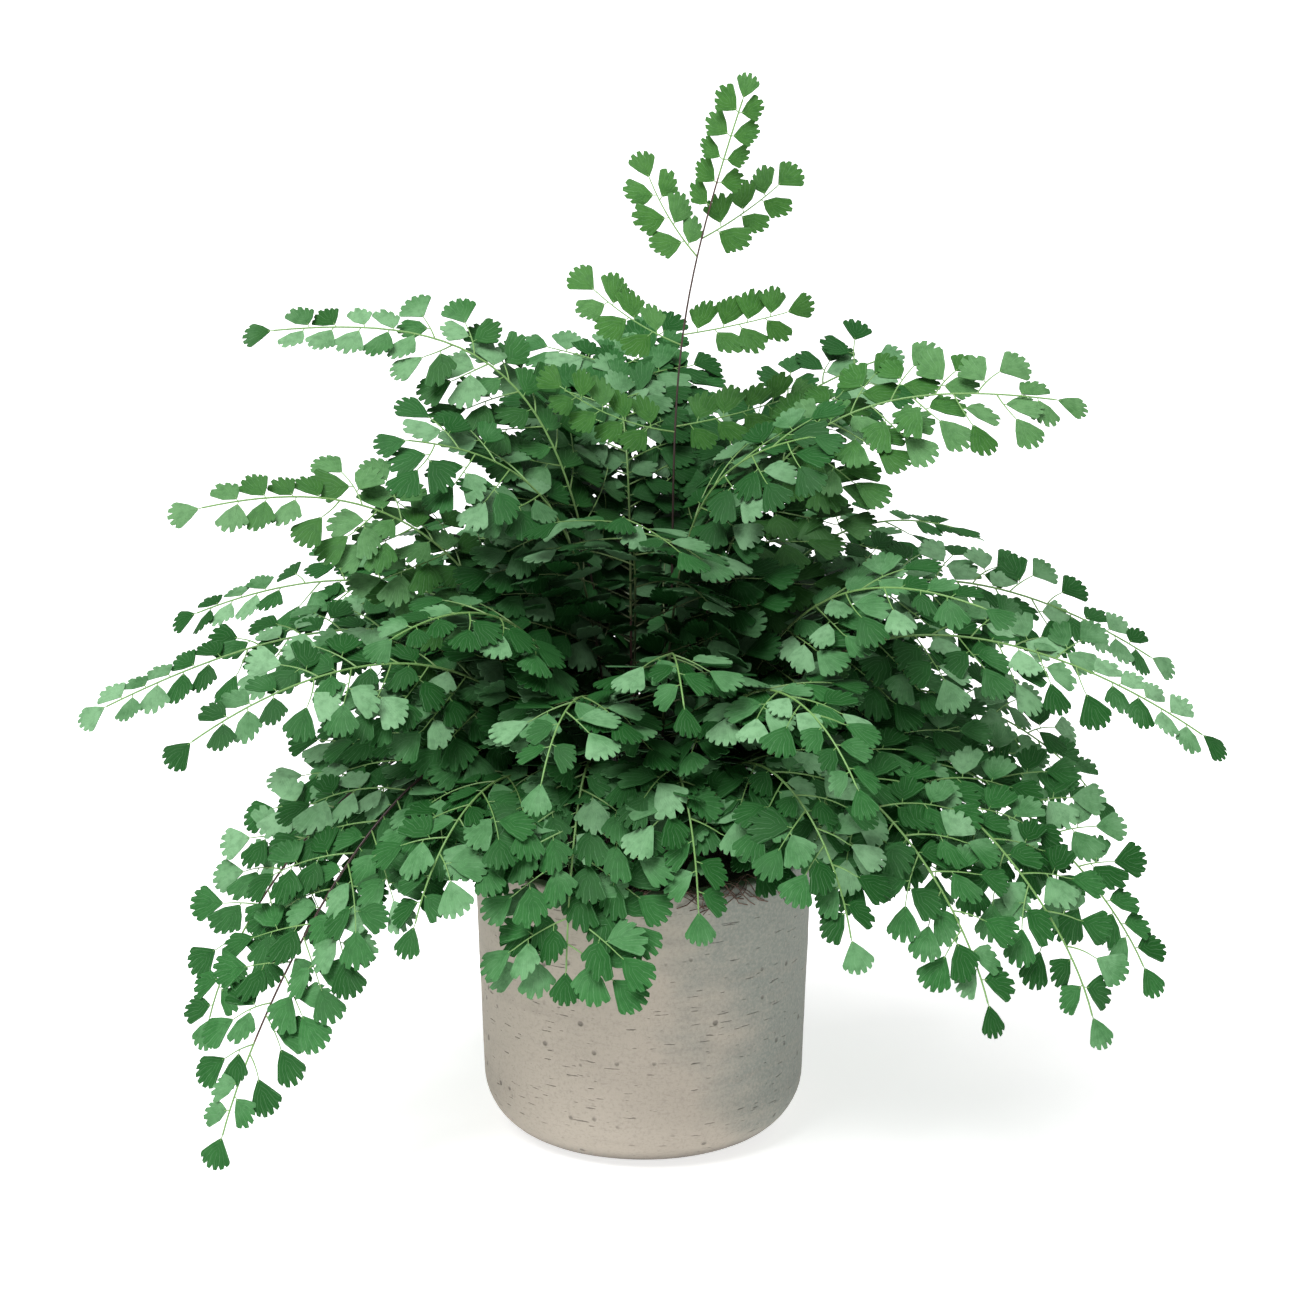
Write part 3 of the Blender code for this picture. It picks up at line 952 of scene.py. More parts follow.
class FrondPlan:
    """The stalks and the leaflet seats of one frond."""

    def __init__(self, name, midrib, settings):
        habit = HABITS.get(name) or HABITS[name.rsplit("_", 1)[0]]
        self.habit = habit
        self.midrib = midrib
        self.draw = random.Random(f"{name} {settings.seed}")
        self.stalks = []
        self.seats = []
        self.leaflet = settings.leaflet_size * habit.leaflet
        self.step = settings.leaflet_gap * habit.step
        self.gap = settings.side_stalk_gap * habit.side_gap
        self.start = midrib.blade_start * habit.first
        self.run = midrib.length - self.start
        self.add_midrib()
        self.add_side(1, self.start)
        self.add_side(-1, self.start + habit.stagger * self.gap)

    def add_midrib(self):
        """The stem and midrib as one stalk, with a leaflet at its tip."""
        length, green = self.midrib.length, self.habit.green_from
        whole = length + STEM_DEPTH
        stations = [whole * k / MIDRIB_STEPS - STEM_DEPTH for k in range(MIDRIB_STEPS + 1)]
        points = [self.midrib.point_and_tangent(s)[0] for s in stations]
        shares = [min(max(s / length, 0), 1) for s in stations]
        thins = STEM_HALF - MIDRIB_TIP_HALF
        radii = [STEM_HALF - thins * share**MIDRIB_TAPER for share in shares]
        youth = [OLD_YOUTH * x / green if x < green else GREEN_YOUTH for x in shares]
        self.stalks.append(Stalk(points, radii, youth))
        self.add_leaflet(length, 0, 0, 0, TIP_SIZE, 0)

    def add_side(self, side, along):
        """The side stalks and leaflets on one side of the midrib, from a place along it."""
        habit, draw = self.habit, self.draw
        while along < self.midrib.length - END_ROOM * self.leaflet:
            share = (along - self.start) / self.run
            reach = self.midrib.frond.width * MM * (habit.widest - habit.narrowing * share)
            size = draw.uniform(*MIDRIB_LEAFLET_SIZES) * (1 - MIDRIB_LEAFLET_SHRINK * share)
            fan = side * math.radians(draw.uniform(*MIDRIB_LEAFLET_FANS))
            slope = draw.uniform(*MIDRIB_LEAFLET_SLOPES)
            if reach > SHORTEST_SIDE_STALK * self.leaflet and share < habit.branched:
                self.add_side_stalk(along, side, reach * draw.uniform(*SIDE_STALK_REACHES))
                if share < habit.infill:
                    place = along + INFILL_PLACE * self.gap
                    self.add_leaflet(place, 0, fan, side, size, slope)
                if habit.filled:
                    place = along + FILLER_PLACE * self.gap
                    self.add_leaflet(place, 0, FILLER_FAN * fan, side, size, slope)
                along += self.gap * draw.uniform(*STEPS_AND_GAPS)
                if habit.paired and (along - self.start) / self.run > habit.branched:
                    along -= PAIR_STEP_BACK * self.gap
            else:
                self.add_leaflet(along, 0, fan, side, size, slope)
                along += self.step * draw.uniform(*MIDRIB_LEAFLET_STEPS)

    def add_side_stalk(self, along, side, reach):
        """A side stalk with a leaflet at its tip and a row on each side of it."""
        draw, leaflet = self.draw, self.leaflet
        lean = math.radians(draw.uniform(*SIDE_STALK_LEANS))
        if self.habit.paired:
            closed = max(along / self.midrib.length - PAIR_CLOSES_FROM, 0)
            lean = math.radians(PAIR_LEAN - PAIR_CLOSES_BY * closed)
        bend = math.radians(draw.uniform(*SIDE_STALK_BENDS))
        lift = math.radians(draw.uniform(*SIDE_STALK_LIFTS)) + self.rise(along, side * lean)
        droop = draw.uniform(*SIDE_STALK_DROOPS)
        stalk = SideStalk(along, side, reach - leaflet, lean, bend, lift, droop)
        points = [self.midrib.place(s, t, height) for s, t, height, _ in stalk.line]
        shares = [k / SIDE_STALK_STEPS for k in range(SIDE_STALK_STEPS + 1)]
        thins = SIDE_STALK_HALF - SIDE_STALK_TIP_HALF
        radii = [SIDE_STALK_HALF - thins * share for share in shares]
        youth = [SIDE_YOUTH + SIDE_YOUTH_GAIN * share for share in shares]
        self.stalks.append(Stalk(points, radii, youth))
        s, t, height, angle = stalk.line[-1]
        size = draw.uniform(*TIP_LEAFLET_SIZES)
        self.add_leaflet(s, t, side * angle, 0, size, stalk.slope(stalk.length), height)
        for turn, row_end in ROW_ENDS.items():
            gone = stalk.length - row_end * leaflet
            while gone > END_ROOM * leaflet:
                s, t, height, angle = stalk.at(gone)
                fan = side * angle + turn * math.radians(draw.uniform(*ROW_LEAFLET_FANS))
                size = draw.uniform(*ROW_LEAFLET_SIZES)
                self.add_leaflet(s, t, fan, turn, size, ROW_SLOPE * stalk.slope(gone), height)
                gone -= self.step * draw.uniform(*STEPS_AND_GAPS)

    def rise(self, s, fan):
        """How steeply a side stalk leaves its blade's plane so that it faces the light more."""
        along, across, out = self.midrib.directions(s, 0)
        face = facing(self.midrib.place(s, 0, 0), out)
        lean = face.dot(along) * math.cos(fan) + face.dot(across) * math.sin(fan)
        rise = -RISE_SHARE * math.atan2(lean, face.dot(out))
        return min(max(rise, -STEEPEST_RISE), STEEPEST_RISE)

    def add_leaflet(self, s, t, fan, turn, size, slope, height=0.0):
        """A leaflet whose middle points fan radians from the midrib; turn is its side of a stalk."""
        midrib, draw = self.midrib, self.draw
        along, across, out = midrib.directions(s, t)
        axis = (along * math.cos(fan) + across * math.sin(fan) + out * slope).normalized()
        start = midrib.place(s, t, height)
        face = facing(start, out)
        axis = (axis - face * face.dot(axis)).normalized()
        turned_by = Matrix((axis, face.cross(axis), face)).transposed()
        bare = draw.uniform(*LEAF_STALK_LENGTHS) * MM
        neck = start + axis * bare
        radii = [LEAF_STALK_HALF, LEAF_STALK_TIP_HALF]
        self.stalks.append(Stalk([start, neck + axis * MM], radii, list(LEAF_STALK_YOUTH)))
        sides = len(SIDE_LEAFLETS)
        if turn:
            kind = draw.randrange(sides) + (sides if turn > 0 else 0)
        else:
            kind = 2 * sides + draw.randrange(len(END_LEAFLETS))
        size *= self.leaflet
        self.seats.append(Seat(neck, turned_by, size, kind, painted_shade_at(neck)))


def stalk_mesh(stalks):
    """The stalks' middle lines as edges, with a thickness and a youth at each point."""
    points, edges = [], []
    for stalk in stalks:
        first = len(points)
        points += stalk.points
        edges += [(first + k, first + k + 1) for k in range(len(stalk.points) - 1)]
    mesh = bpy.data.meshes.new("stalk_lines")
    mesh.from_pydata(points, edges, [])
    add_attribute(mesh, "thickness", "FLOAT", [r for stalk in stalks for r in stalk.radii])
    add_attribute(mesh, "youth", "FLOAT", [y for stalk in stalks for y in stalk.youth])
    return mesh


def seat_mesh(seats, youth):
    """The leaflets' places as points that say how each leaflet stands and looks."""
    mesh = bpy.data.meshes.new("leaflet_seats")
    mesh.from_pydata([seat.place for seat in seats], [], [])
    turns = [angle for seat in seats for angle in seat.turn.to_euler()]
    add_attribute(mesh, "turn", "FLOAT_VECTOR", turns)
    add_attribute(mesh, "size", "FLOAT", [seat.size for seat in seats])
    add_attribute(mesh, "kind", "INT", [seat.kind for seat in seats])
    add_attribute(mesh, "youth", "FLOAT", [youth] * len(seats))
    # How much painted shade each leaflet gets in the middle of the plant
    add_attribute(mesh, "shelter", "FLOAT", [seat.shelter for seat in seats])
    return mesh


def add_attribute(mesh, name, kind, values):
    attribute = mesh.attributes.new(name, kind, "POINT")
    attribute.data.foreach_set("vector" if kind == "FLOAT_VECTOR" else "value", values)


# ---------------------------------------------------------------- leaflets


def rim_reach(shape, u):
    """How far a leaflet reaches, u of the way from its short side's edge to its long side's."""
    if shape.breadth == 1:
        return EVEN_REACH - EVEN_FALL * (2 * u - 1) ** 2
    angle = 2 * math.radians(shape.half_fan) * (1 - u)
    power = LOPSIDED_POWER
    total = math.cos(angle) ** power + (math.sin(angle) / shape.breadth) ** power
    return LOPSIDED_REACH * total ** (-1 / power)


def leaflet_lines(shape):
    """The middle and the toothed outer line of a fan: an angle, a reach and a share of the fan."""
    cuts = [(0.0, CORNER_REACH)]
    for tooth in range(shape.teeth):
        cuts += [((tooth + top) / shape.teeth, 1.0) for top in TOOTH_TOPS]
        deep = shape.cleft if abs(tooth + 1 - shape.teeth / 2) <= 1 else 0
        cuts.append(((tooth + 1) / shape.teeth, 1 - shape.notch - deep))
    cuts[-1] = (1.0, CORNER_REACH)
    half_fan = math.radians(shape.half_fan)
    full_fan = half_fan * shape.fullness
    outer = [(half_fan * (2 * u - 1), rim_reach(shape, u) * cut, u) for u, cut in cuts]
    shares = [k / 4 for k in range(5)]
    middle = [(full_fan * (2 * u - 1), MIDDLE_REACH * rim_reach(shape, u), u) for u in shares]
    return middle, outer


def leaflet_template(name, shape, mirror, cup):
    """A thin closed fan one unit long: a narrow neck, straight sides and a toothed outer edge."""
    middle, outer = leaflet_lines(shape)
    flip = -1 if mirror else 1
    bm = bmesh.new()
    fan = bm.loops.layers.uv.new("Fan")
    where = {}

    def corner(angle, reach, lift, across, along):
        x, y = reach * math.cos(angle), flip * reach * math.sin(angle)
        vertex = bm.verts.new((x, y, lift - cup * (x * x * CUP_ALONG + y * y)))
        where[vertex] = (across, along)
        return vertex

    skins = []
    for lift in (LEAFLET_THICKNESS / 2, -LEAFLET_THICKNESS / 2):
        neck = [corner(math.pi / 2 * w, NECK_HALF, lift, 0.5 + 0.5 * w, 0) for w in (-1, 1)]
        mids = [corner(angle, reach, lift, u, 0.5) for angle, reach, u in middle]
        outs = [corner(angle, reach, lift, u, 1.0) for angle, reach, u in outer]
        bm.faces.new((neck[0], mids[0], mids[1], mids[2]))
        bm.faces.new((neck[0], mids[2], neck[1]))
        bm.faces.new((neck[1], mids[2], mids[3], mids[4]))
        cuts = [round(k * (len(outs) - 1) / 4) for k in range(5)]
        for k in range(4):
            bm.faces.new((mids[k], *outs[cuts[k] : cuts[k + 1] + 1], mids[k + 1]))
        skins.append([neck[0], mids[0], *outs, mids[4], neck[1]])
    above, below = skins
    for k in range(len(above)):
        after = (k + 1) % len(above)
        bm.faces.new((above[k], above[after], below[after], below[k]))
        for skin in skins:
            bm.edges.get((skin[k], skin[after])).smooth = False
    bmesh.ops.recalc_face_normals(bm, faces=bm.faces)
    for face in bm.faces:
        for loop in face.loops:
            loop[fan].uv = where[loop.vert]
    return finished(bm, name)


def leaflet_templates():
    """The hidden leaflets that the tree copies: side ones each way round, then end ones."""
    collection = bpy.data.collections.new("leaflet_templates")
    shapes = [(shape, mirror) for mirror in (False, True) for shape in SIDE_LEAFLETS]
    shapes += [(shape, False) for shape in END_LEAFLETS]
    for number, (shape, mirror) in enumerate(shapes):
        mesh = leaflet_template(f"leaflet_{number}", shape, mirror, CUPS[number % len(CUPS)])
        collection.objects.link(bpy.data.objects.new(mesh.name, mesh))
    return collection


def leaflet_tree():
    """Puts a leaflet on each seat and gives it a small tilt and a tint of its own."""
    sockets = {"Templates": "Collection", "Tilt": "Float", "Seed": "Int", "Material": "Material"}
    nodes, start = new_tree("Leaflets", sockets)
    turn = nodes.stored("turn", "FLOAT_VECTOR")
    values = {
        "Instance Index": nodes.stored("kind", "INT"),
        "Rotation": nodes.add("FunctionNodeEulerToRotation", None, {0: turn}),
        "Scale": nodes.stored("size"),
    }
    made = nodes.copies(start["Mesh"], start["Templates"], values)
    tilt = start["Tilt"]
    most = {0: tilt, 1: tilt * 0.8, 2: tilt * 0.4}
    least = {0: tilt * -1, 1: tilt * -0.3, 2: tilt * -0.4}
    values = {
        "Min": nodes.add("ShaderNodeCombineXYZ", None, least),
        "Max": nodes.add("ShaderNodeCombineXYZ", None, most),
        "Seed": start["Seed"],
    }
    values = {"Instances": made, "Rotation": nodes.random(values, "FLOAT_VECTOR")}
    made = nodes.add("GeometryNodeRotateInstances", None, values)
    tint = nodes.random({"Seed": start["Seed"] + 1})
    settings = {"data_type": "FLOAT", "domain": "INSTANCE"}
    values = {"Geometry": made, "Name": "tint", "Value": tint}
    made = nodes.add("GeometryNodeStoreNamedAttribute", settings, values)
    return end_tree(nodes, made, start["Material"])


def fan_veins(nodes, where):
    """1 on a leaflet's veins, which fan out from its neck, and 0 between them."""
    fan = nodes.add("ShaderNodeUVMap", {"uv_map": "Fan"})
    spread = fan.part(0) + nodes.noise(where, 420, 2) * 0.06
    coarse, fine = (
        nodes.math("ABSOLUTE", nodes.math("SINE", spread * (count * math.pi)))
        for count in VEIN_COUNTS
    )
    return (1 - coarse.over(0.0, 0.35)) * 0.6 + (1 - fine.over(0.0, 0.5)) * 0.4 * fan.part(1)


def leaf_material(settings):
    """Mottled greens, yellow-green when young, with painted light that makes them paler high up and
    far out and painted shade that makes them darker in the middle.
    """
    material, nodes = new_material("leaf")
    where = nodes.place()
    veins = fan_veins(nodes, where)
    tint = nodes.attribute("tint")
    patches = nodes.noise(where, 26, 3)
    mottle = nodes.noise(where, 300, 4, 0.6)
    height = where.part(2)
    outer = nodes.from_axis().over(*OUTER_FOLIAGE)
    # Painted light: leaflets high up and far from the axis are paler, and low ones get none
    painted_light = height.over(*LOW_FOLIAGE) * (outer * (height.over(*HIGH_FOLIAGE) * 0.7 + 0.22) + 0.17)
    green = (tint * 0.7 + patches * 0.6 - 0.2).over(0.05, 0.95)
    # Leaflets turn mint partly at random and partly as painted light
    pale_and_lit = (tint + patches + painted_light - 0.67).over(0.48, 1.12)
    colour = nodes.mix(green, rgba(settings.shade), rgba(settings.green))
    colour = nodes.mix(pale_and_lit * 0.8, colour, rgba(settings.mint))
    colour = nodes.mix(nodes.attribute("youth"), colour, rgba(settings.young))
    colour = nodes.mix(veins * 0.23, colour, rgba(settings.mint, 1.1))
    colour = nodes.mix((1 - mottle.over(0.3, 0.6)) * 0.3, colour, rgba(settings.shade))
    # Painted shade: leaflets in the low middle of the plant are darkened
    colour = nodes.mix(nodes.attribute("shelter") * 0.64, colour, rgba(settings.shade, 0.4))
    values = {"Base Color": colour, "Roughness": mottle * 0.25 + 0.4, "Specular IOR Level": 0.12}
    nodes.surface(values, veins * -0.5 + mottle * 0.5, 0.2 * MM)
    return material


# ---------------------------------------------------------------- stalks


def stalk_tree():
    """Sweeps a round section along lines, as thick as they say."""
    nodes, start = new_tree("Stalks", {"Sides": "Int", "Material": "Material"})
    circle = {"Resolution": start["Sides"], "Radius": 1.0}
    values = {
        "Curve": nodes.add("GeometryNodeMeshToCurve", None, {"Mesh": start["Mesh"]}),
        "Profile Curve": nodes.add("GeometryNodeCurvePrimitiveCircle", None, circle),
        "Scale": nodes.stored("thickness"),
        "Fill Caps": True,
    }
    made = nodes.add("GeometryNodeCurveToMesh", None, values)
    return end_tree(nodes, made, start["Material"])


def stalk_material(settings):
    """Near black at the compost, then brown, then yellow-green at the tips, with painted shade
    making them near black in the low middle of the plant.
    """
    material, nodes = new_material("stalk")
    grain = nodes.noise(nodes.place((1, 1, 0.25)), 900, 3, 0.6)
    age = nodes.attribute("youth") + grain * 0.24 - 0.12
    colour = nodes.mix(age.over(0.12, 0.5), rgba(settings.old_stalk), rgba(BROWN_STALK))
    colour = nodes.mix(age.over(0.42, 0.68), colour, rgba(settings.young_stalk))
    colour = nodes.mix(grain.over(0.5, 0.75) * 0.25, colour, rgba(settings.old_stalk))
    # Painted shade: stalks near the axis and low down are darkened
    low = 1 - nodes.place().part(2).over(*HIGH_STALKS)
    inside = (1 - nodes.from_axis().over(*INNER_STALKS)) * low
    colour = nodes.mix(inside * 0.75, colour, rgba(settings.old_stalk))
    nodes.surface({"Base Color": colour, "Roughness": grain * 0.3 + 0.28}, grain, 0.06 * MM)
    return material


# ---------------------------------------------------------------- pot and compost


def pot_mesh(settings):
    """The cast pot, with a wall that is a little uneven."""
    inner = POT_RADIUS - POT_WALL
    inner_foot = POT_FOOT_RADIUS - POT_WALL
    inner_corner = POT_CORNER - POT_WALL
    rim_height = POT_HEIGHT - POT_RIM_ROUND
    foot_centre = (POT_FOOT_RADIUS - POT_CORNER, POT_CORNER)
    floor_centre = (inner_foot - inner_corner, POT_FLOOR + inner_corner)
    foot = arc(foot_centre, POT_CORNER, -90, 0, POT_FOOT_STEPS)
    rim = arc((POT_RADIUS - POT_RIM_ROUND, rim_height), POT_RIM_ROUND, 0, 90, POT_RIM_STEPS)
    rim += arc((inner + POT_RIM_ROUND, rim_height), POT_RIM_ROUND, 90, 180, POT_RIM_STEPS)
    floor = arc(floor_centre, inner_corner, 0, -90, POT_INNER_STEPS)
    wall = between(foot[-1], rim[0], POT_WALL_STEPS)
    bm = turned([*foot, *wall, *rim, *floor], settings.sides)
    for vertex in bm.verts:
        if vertex.co.z > MM:
            hollow = 0.5 + 0.5 * noise.fractal(vertex.co / HOLLOW_SPACING, *HOLLOW_NOISE)
            radius = math.hypot(vertex.co.x, vertex.co.y)
            shrink = 1 - settings.unevenness * min(max(hollow, 0), 1) / radius
            vertex.co.x *= shrink
            vertex.co.y *= shrink
    mesh = finished(bm, "pot")
    mesh.set_sharp_from_angle(angle=math.radians(POT_SHARP_ANGLE))
    return mesh


def concrete_marks(nodes, where):
    """1 in the cast wall's pits and scratches, and 0 elsewhere."""
    streaks = nodes.noise(nodes.place((1.2, 1.2, 13)), 95, 2, 0.4).over(0.69, 0.75)
    cell = nodes.cells(where, 190.0, "Color")
    chosen = nodes.add("ShaderNodeSeparateColor", None, {0: cell}, 0)
    pits = (1 - nodes.cells(where, 190.0).over(0.12, 0.30)) * chosen.over(0.86, 0.88)
    return nodes.math("MINIMUM", pits + streaks, 1.0)


def concrete_material(settings):
    """Sandy concrete with greyer clouds, partly painted shade to the right and top, level casting
    bands, pits, scratches and a painted contact shadow at its foot.
    """
    material, nodes = new_material("concrete")
    where = nodes.place()
    level = nodes.place((1, 1, 6))
    side, height = where.part(0), where.part(2)
    clouds = nodes.noise(where, 13, 4, 0.55)
    grain = nodes.noise(where, 700, 4, 0.65)
    bands = nodes.noise(level, 22, 5, 0.6)
    specks = nodes.noise(level, 260, 3, 0.5).over(0.58, 0.72)
    marks = concrete_marks(nodes, where)
    # Painted contact shadow: the wall darkens towards the floor
    foot = 1 - height.over(0.5 * MM, 11 * MM)
    # Cement clouds: partly the concrete's own greener tone, partly painted shade, greyest to the
    # right and the top
    cement_and_shade = (side * 11 + height * 6 + clouds * 1.6 + bands * 0.5).over(1.53, 2.13)
    colour = nodes.mix(cement_and_shade, rgba(settings.sand), rgba(settings.cement))
    shades = (
        (bands.over(0.5, 0.8) * 0.5, 0.72),
        (grain.over(0.35, 0.75) * 0.4, 1.15),
        ((1 - grain.over(0.3, 0.5)) * 0.3, 0.55),
        (specks * 0.3, 0.6),
        (marks * 0.65, 0.22),
        # painted contact shadow at the foot
        (foot * 0.8, 0.15),
    )
    for share, gain in shades:
        colour = nodes.mix(share, colour, rgba(settings.sand, gain))
    relief = grain * 0.25 + bands * 0.4 - marks * 1.2
    nodes.surface({"Base Color": colour, "Roughness": grain * 0.25 + 0.68}, relief, 0.45 * MM)
    return material


def compost_mesh():
    """The top of the compost with its crumbs, and a plain closed body below it."""
    profile = [(COMPOST_RADIUS, COMPOST_EDGE - COMPOST_SKIRT)]
    for k in range(COMPOST_STEPS, 0, -1):
        profile.append((COMPOST_RADIUS * k / COMPOST_STEPS, COMPOST_EDGE))
    bm = turned(profile, COMPOST_SIDES)
    for vertex in bm.verts:
        if vertex.co.z > COMPOST_EDGE - MM:
            x, y = vertex.co.xy
            crumbs = noise.fractal(Vector((x, y, 0)) / CRUMB_SPACING, *CRUMB_NOISE)
            vertex.co.z = compost_height(x, y) + CRUMB_HEIGHT * crumbs
    return finished(bm, "compost")


def compost_material(settings):
    """Dark crumbs with a few paler chips."""
    material, nodes = new_material("peat")
    where = nodes.place()
    crumbs = nodes.noise(where, 420, 5, 0.7)
    chips = nodes.cells(where, 330.0)
    colour = nodes.mix(crumbs.over(0.35, 0.7), rgba(settings.peat, 0.4), rgba(settings.peat, 2.2))
    colour = nodes.mix((1 - chips.over(0.1, 0.4)) * 0.4, colour, rgba(settings.fibre, 0.6))
    values = {"Base Color": colour, "Roughness": crumbs * 0.2 + 0.75}
    nodes.surface(values, crumbs - chips * 0.5, 1.2 * MM)
    return material


def fibre_material(settings):
    """Brown dry root, paler along its grain."""
    material, nodes = new_material("dry_root")
    where = nodes.place()
    grain = nodes.noise(where, 500, 4, 0.6)
    tone = nodes.noise(where, 70, 2)
    colour = nodes.mix(tone.over(0.3, 0.7), rgba(settings.fibre, 0.3), rgba(settings.fibre))
    colour = nodes.mix(grain.over(0.5, 0.8) * 0.5, colour, rgba(settings.fibre, 2.1))
    nodes.surface({"Base Color": colour, "Roughness": grain * 0.3 + 0.6}, grain, 0.1 * MM)
    return material


def root_templates(stalks, material):
    """Short curled dry roots for the tree to scatter."""
    collection = bpy.data.collections.new("root_templates")
    draw = random.Random(ROOT_SEED)
    thins = (ROOT_HALF - ROOT_TIP_HALF) / ROOT_STEPS
    radii = [ROOT_HALF - thins * k for k in range(ROOT_STEPS + 1)]
    for number in range(ROOT_SHAPES):
        heading, lean = 0.0, draw.uniform(*ROOT_LEANS)
        points = [Vector((0, 0, 0))]
        for _ in range(ROOT_STEPS):
            heading += draw.uniform(*ROOT_BENDS)
            lean -= draw.uniform(*ROOT_SINKS)
            way = Vector((math.cos(heading), math.sin(heading), math.sin(lean)))
            points.append(points[-1] + way * ROOT_STEP)
        lines = stalk_mesh([Stalk(points, radii, [0] * len(points))])
        mesh = grow(lines, stalks, {"Sides": ROOT_SIDES, "Material": material})
        collection.objects.link(bpy.data.objects.new(f"root_{number}", mesh))
    return collection


def litter_tree():
    """Scatters dry roots over a surface."""
    sockets = {"Templates": "Collection", "Density": "Float", "Seed": "Int"}
    nodes, start = new_tree("Litter", {**sockets, "Material": "Material"})
    seed = start["Seed"]
    values = {"Mesh": start["Mesh"], "Density": start["Density"], "Seed": seed}
    points = nodes.add("GeometryNodeDistributePointsOnFaces", None, values)
    least, most = ROOT_SCALES
    turns = {
        "Min": (-ROOT_TILT, -ROOT_TILT, 0),
        "Max": (ROOT_TILT, ROOT_TILT, math.tau),
        "Seed": seed,
    }
    values = {
        "Rotation": nodes.random(turns, "FLOAT_VECTOR"),
        "Scale": nodes.random({"Min": least, "Max": most, "Seed": seed + 1}),
    }
    made = nodes.copies(points, start["Templates"], values)
    return end_tree(nodes, made, start["Material"])


def root_bed():
    """A ring just above the compost's surface, as a bed for the dry roots."""
    bm = bmesh.new()
    rings = [
        [
            bm.verts.new((x, y, compost_height(x, y) + ROOT_BED_CLEAR))
            for x, y in round_axis(radius, ROOT_BED_SIDES)
        ]
        for radius in ROOT_BED
    ]
    for near, far in zip(rings, rings[1:]):
        for k in range(ROOT_BED_SIDES):
            after = (k + 1) % ROOT_BED_SIDES
            bm.faces.new((near[k], far[k], far[after], near[after]))
    return finished(bm, "bed", smooth=False)


def rim_roots():
    """Dry roots that lie over the front of the rim and hang a little way down the wall."""
    draw = random.Random(RIM_ROOT_SEED)
    roots = []
    for _ in range(RIM_ROOTS):
        heading = math.radians(draw.uniform(*RIM_ROOT_HEADINGS))
        sweep = draw.choice((-1, 1)) * draw.uniform(*RIM_ROOT_SWEEPS)
        drop = draw.uniform(*RIM_ROOT_DROPS) * MM
        # Millimetres outside the wall, and heights
        path = (
            (-18, COMPOST_EDGE + 4 * MM),
            (-11, COMPOST_EDGE + 6 * MM),
            (-5, POT_HEIGHT + draw.uniform(0.6, 3) * MM),
            (-0.4, POT_HEIGHT + draw.uniform(0.4, 2) * MM),
            (1.0, POT_HEIGHT - 0.3 * drop),
            (0.8, POT_HEIGHT - 0.8 * drop),
            (0.7, POT_HEIGHT - drop),
        )
        points = []
        for k, (outside, height) in enumerate(path):
            wobble = draw.uniform(-RIM_ROOT_WOBBLE, RIM_ROOT_WOBBLE)
            angle = heading + sweep * (k / (len(path) - 1)) ** 1.4 + wobble
            radius = POT_RADIUS + outside * MM
            points.append(Vector((radius * math.cos(angle), radius * math.sin(angle), height)))
        radii = [draw.uniform(*RIM_ROOT_HALVES) * MM] * len(points)
        roots.append(Stalk(points, radii, [0] * len(points)))
    return roots


# ---------------------------------------------------------------- stage


def add_floor():
    """A wide pale floor, just under the pot so that the two don't share a plane."""
    bm = bmesh.new()
    level = Matrix.Translation((0, 0, -FLOOR_DROP))
    bmesh.ops.create_grid(bm, x_segments=16, y_segments=16, size=FLOOR_HALF, matrix=level)
    mesh = finished(bm, "floor", smooth=False)
    material, nodes = new_material("floor")
    darker, paler = (neutral(tone) for tone in FLOOR_TONES)
    values = {
        "Base Color": nodes.mix(nodes.noise(nodes.place(), 30, 3), darker, paler),
        "Roughness": 0.9,
        "Specular IOR Level": 0.0,
        "Emission Color": neutral(1),
        "Emission Strength": FLOOR_GLOW,
    }
    nodes.shader(values)
    mesh.materials.append(material)
    floor = bpy.data.objects.new("floor", mesh)
    bpy.context.scene.collection.objects.link(floor)


def add_world(strength):
    """Even white light from all round."""
    world = bpy.data.worlds.new("studio")
    world.use_nodes = True
    background = world.node_tree.nodes["Background"]
    background.inputs["Color"].default_value = neutral(1)
    background.inputs["Strength"].default_value = strength
    bpy.context.scene.world = world


def add_light(name, kind, energy, direction, place=(0, 0, 0)):
    """Adds a light that shines in a direction, and returns its data to be finished."""
    data = bpy.data.lights.new(name, kind)
    data.energy = energy
    light = bpy.data.objects.new(name, data)
    light.location = place
    light.rotation_mode = "QUATERNION"
    light.rotation_quaternion = Vector(direction).to_track_quat("-Z", "Y")
    bpy.context.scene.collection.objects.link(light)
    return data


def add_camera():
    data = bpy.data.cameras.new("camera")
    data.lens = CAMERA_LENS
    data.sensor_width = 36
    data.clip_end = CAMERA_FAR
    camera = bpy.data.objects.new("camera", data)
    camera.location = CAMERA_PLACE
    camera.rotation_euler = (math.radians(CAMERA_PITCH), 0, 0)
    bpy.context.scene.collection.objects.link(camera)
    bpy.context.scene.camera = camera


# ---------------------------------------------------------------- operators


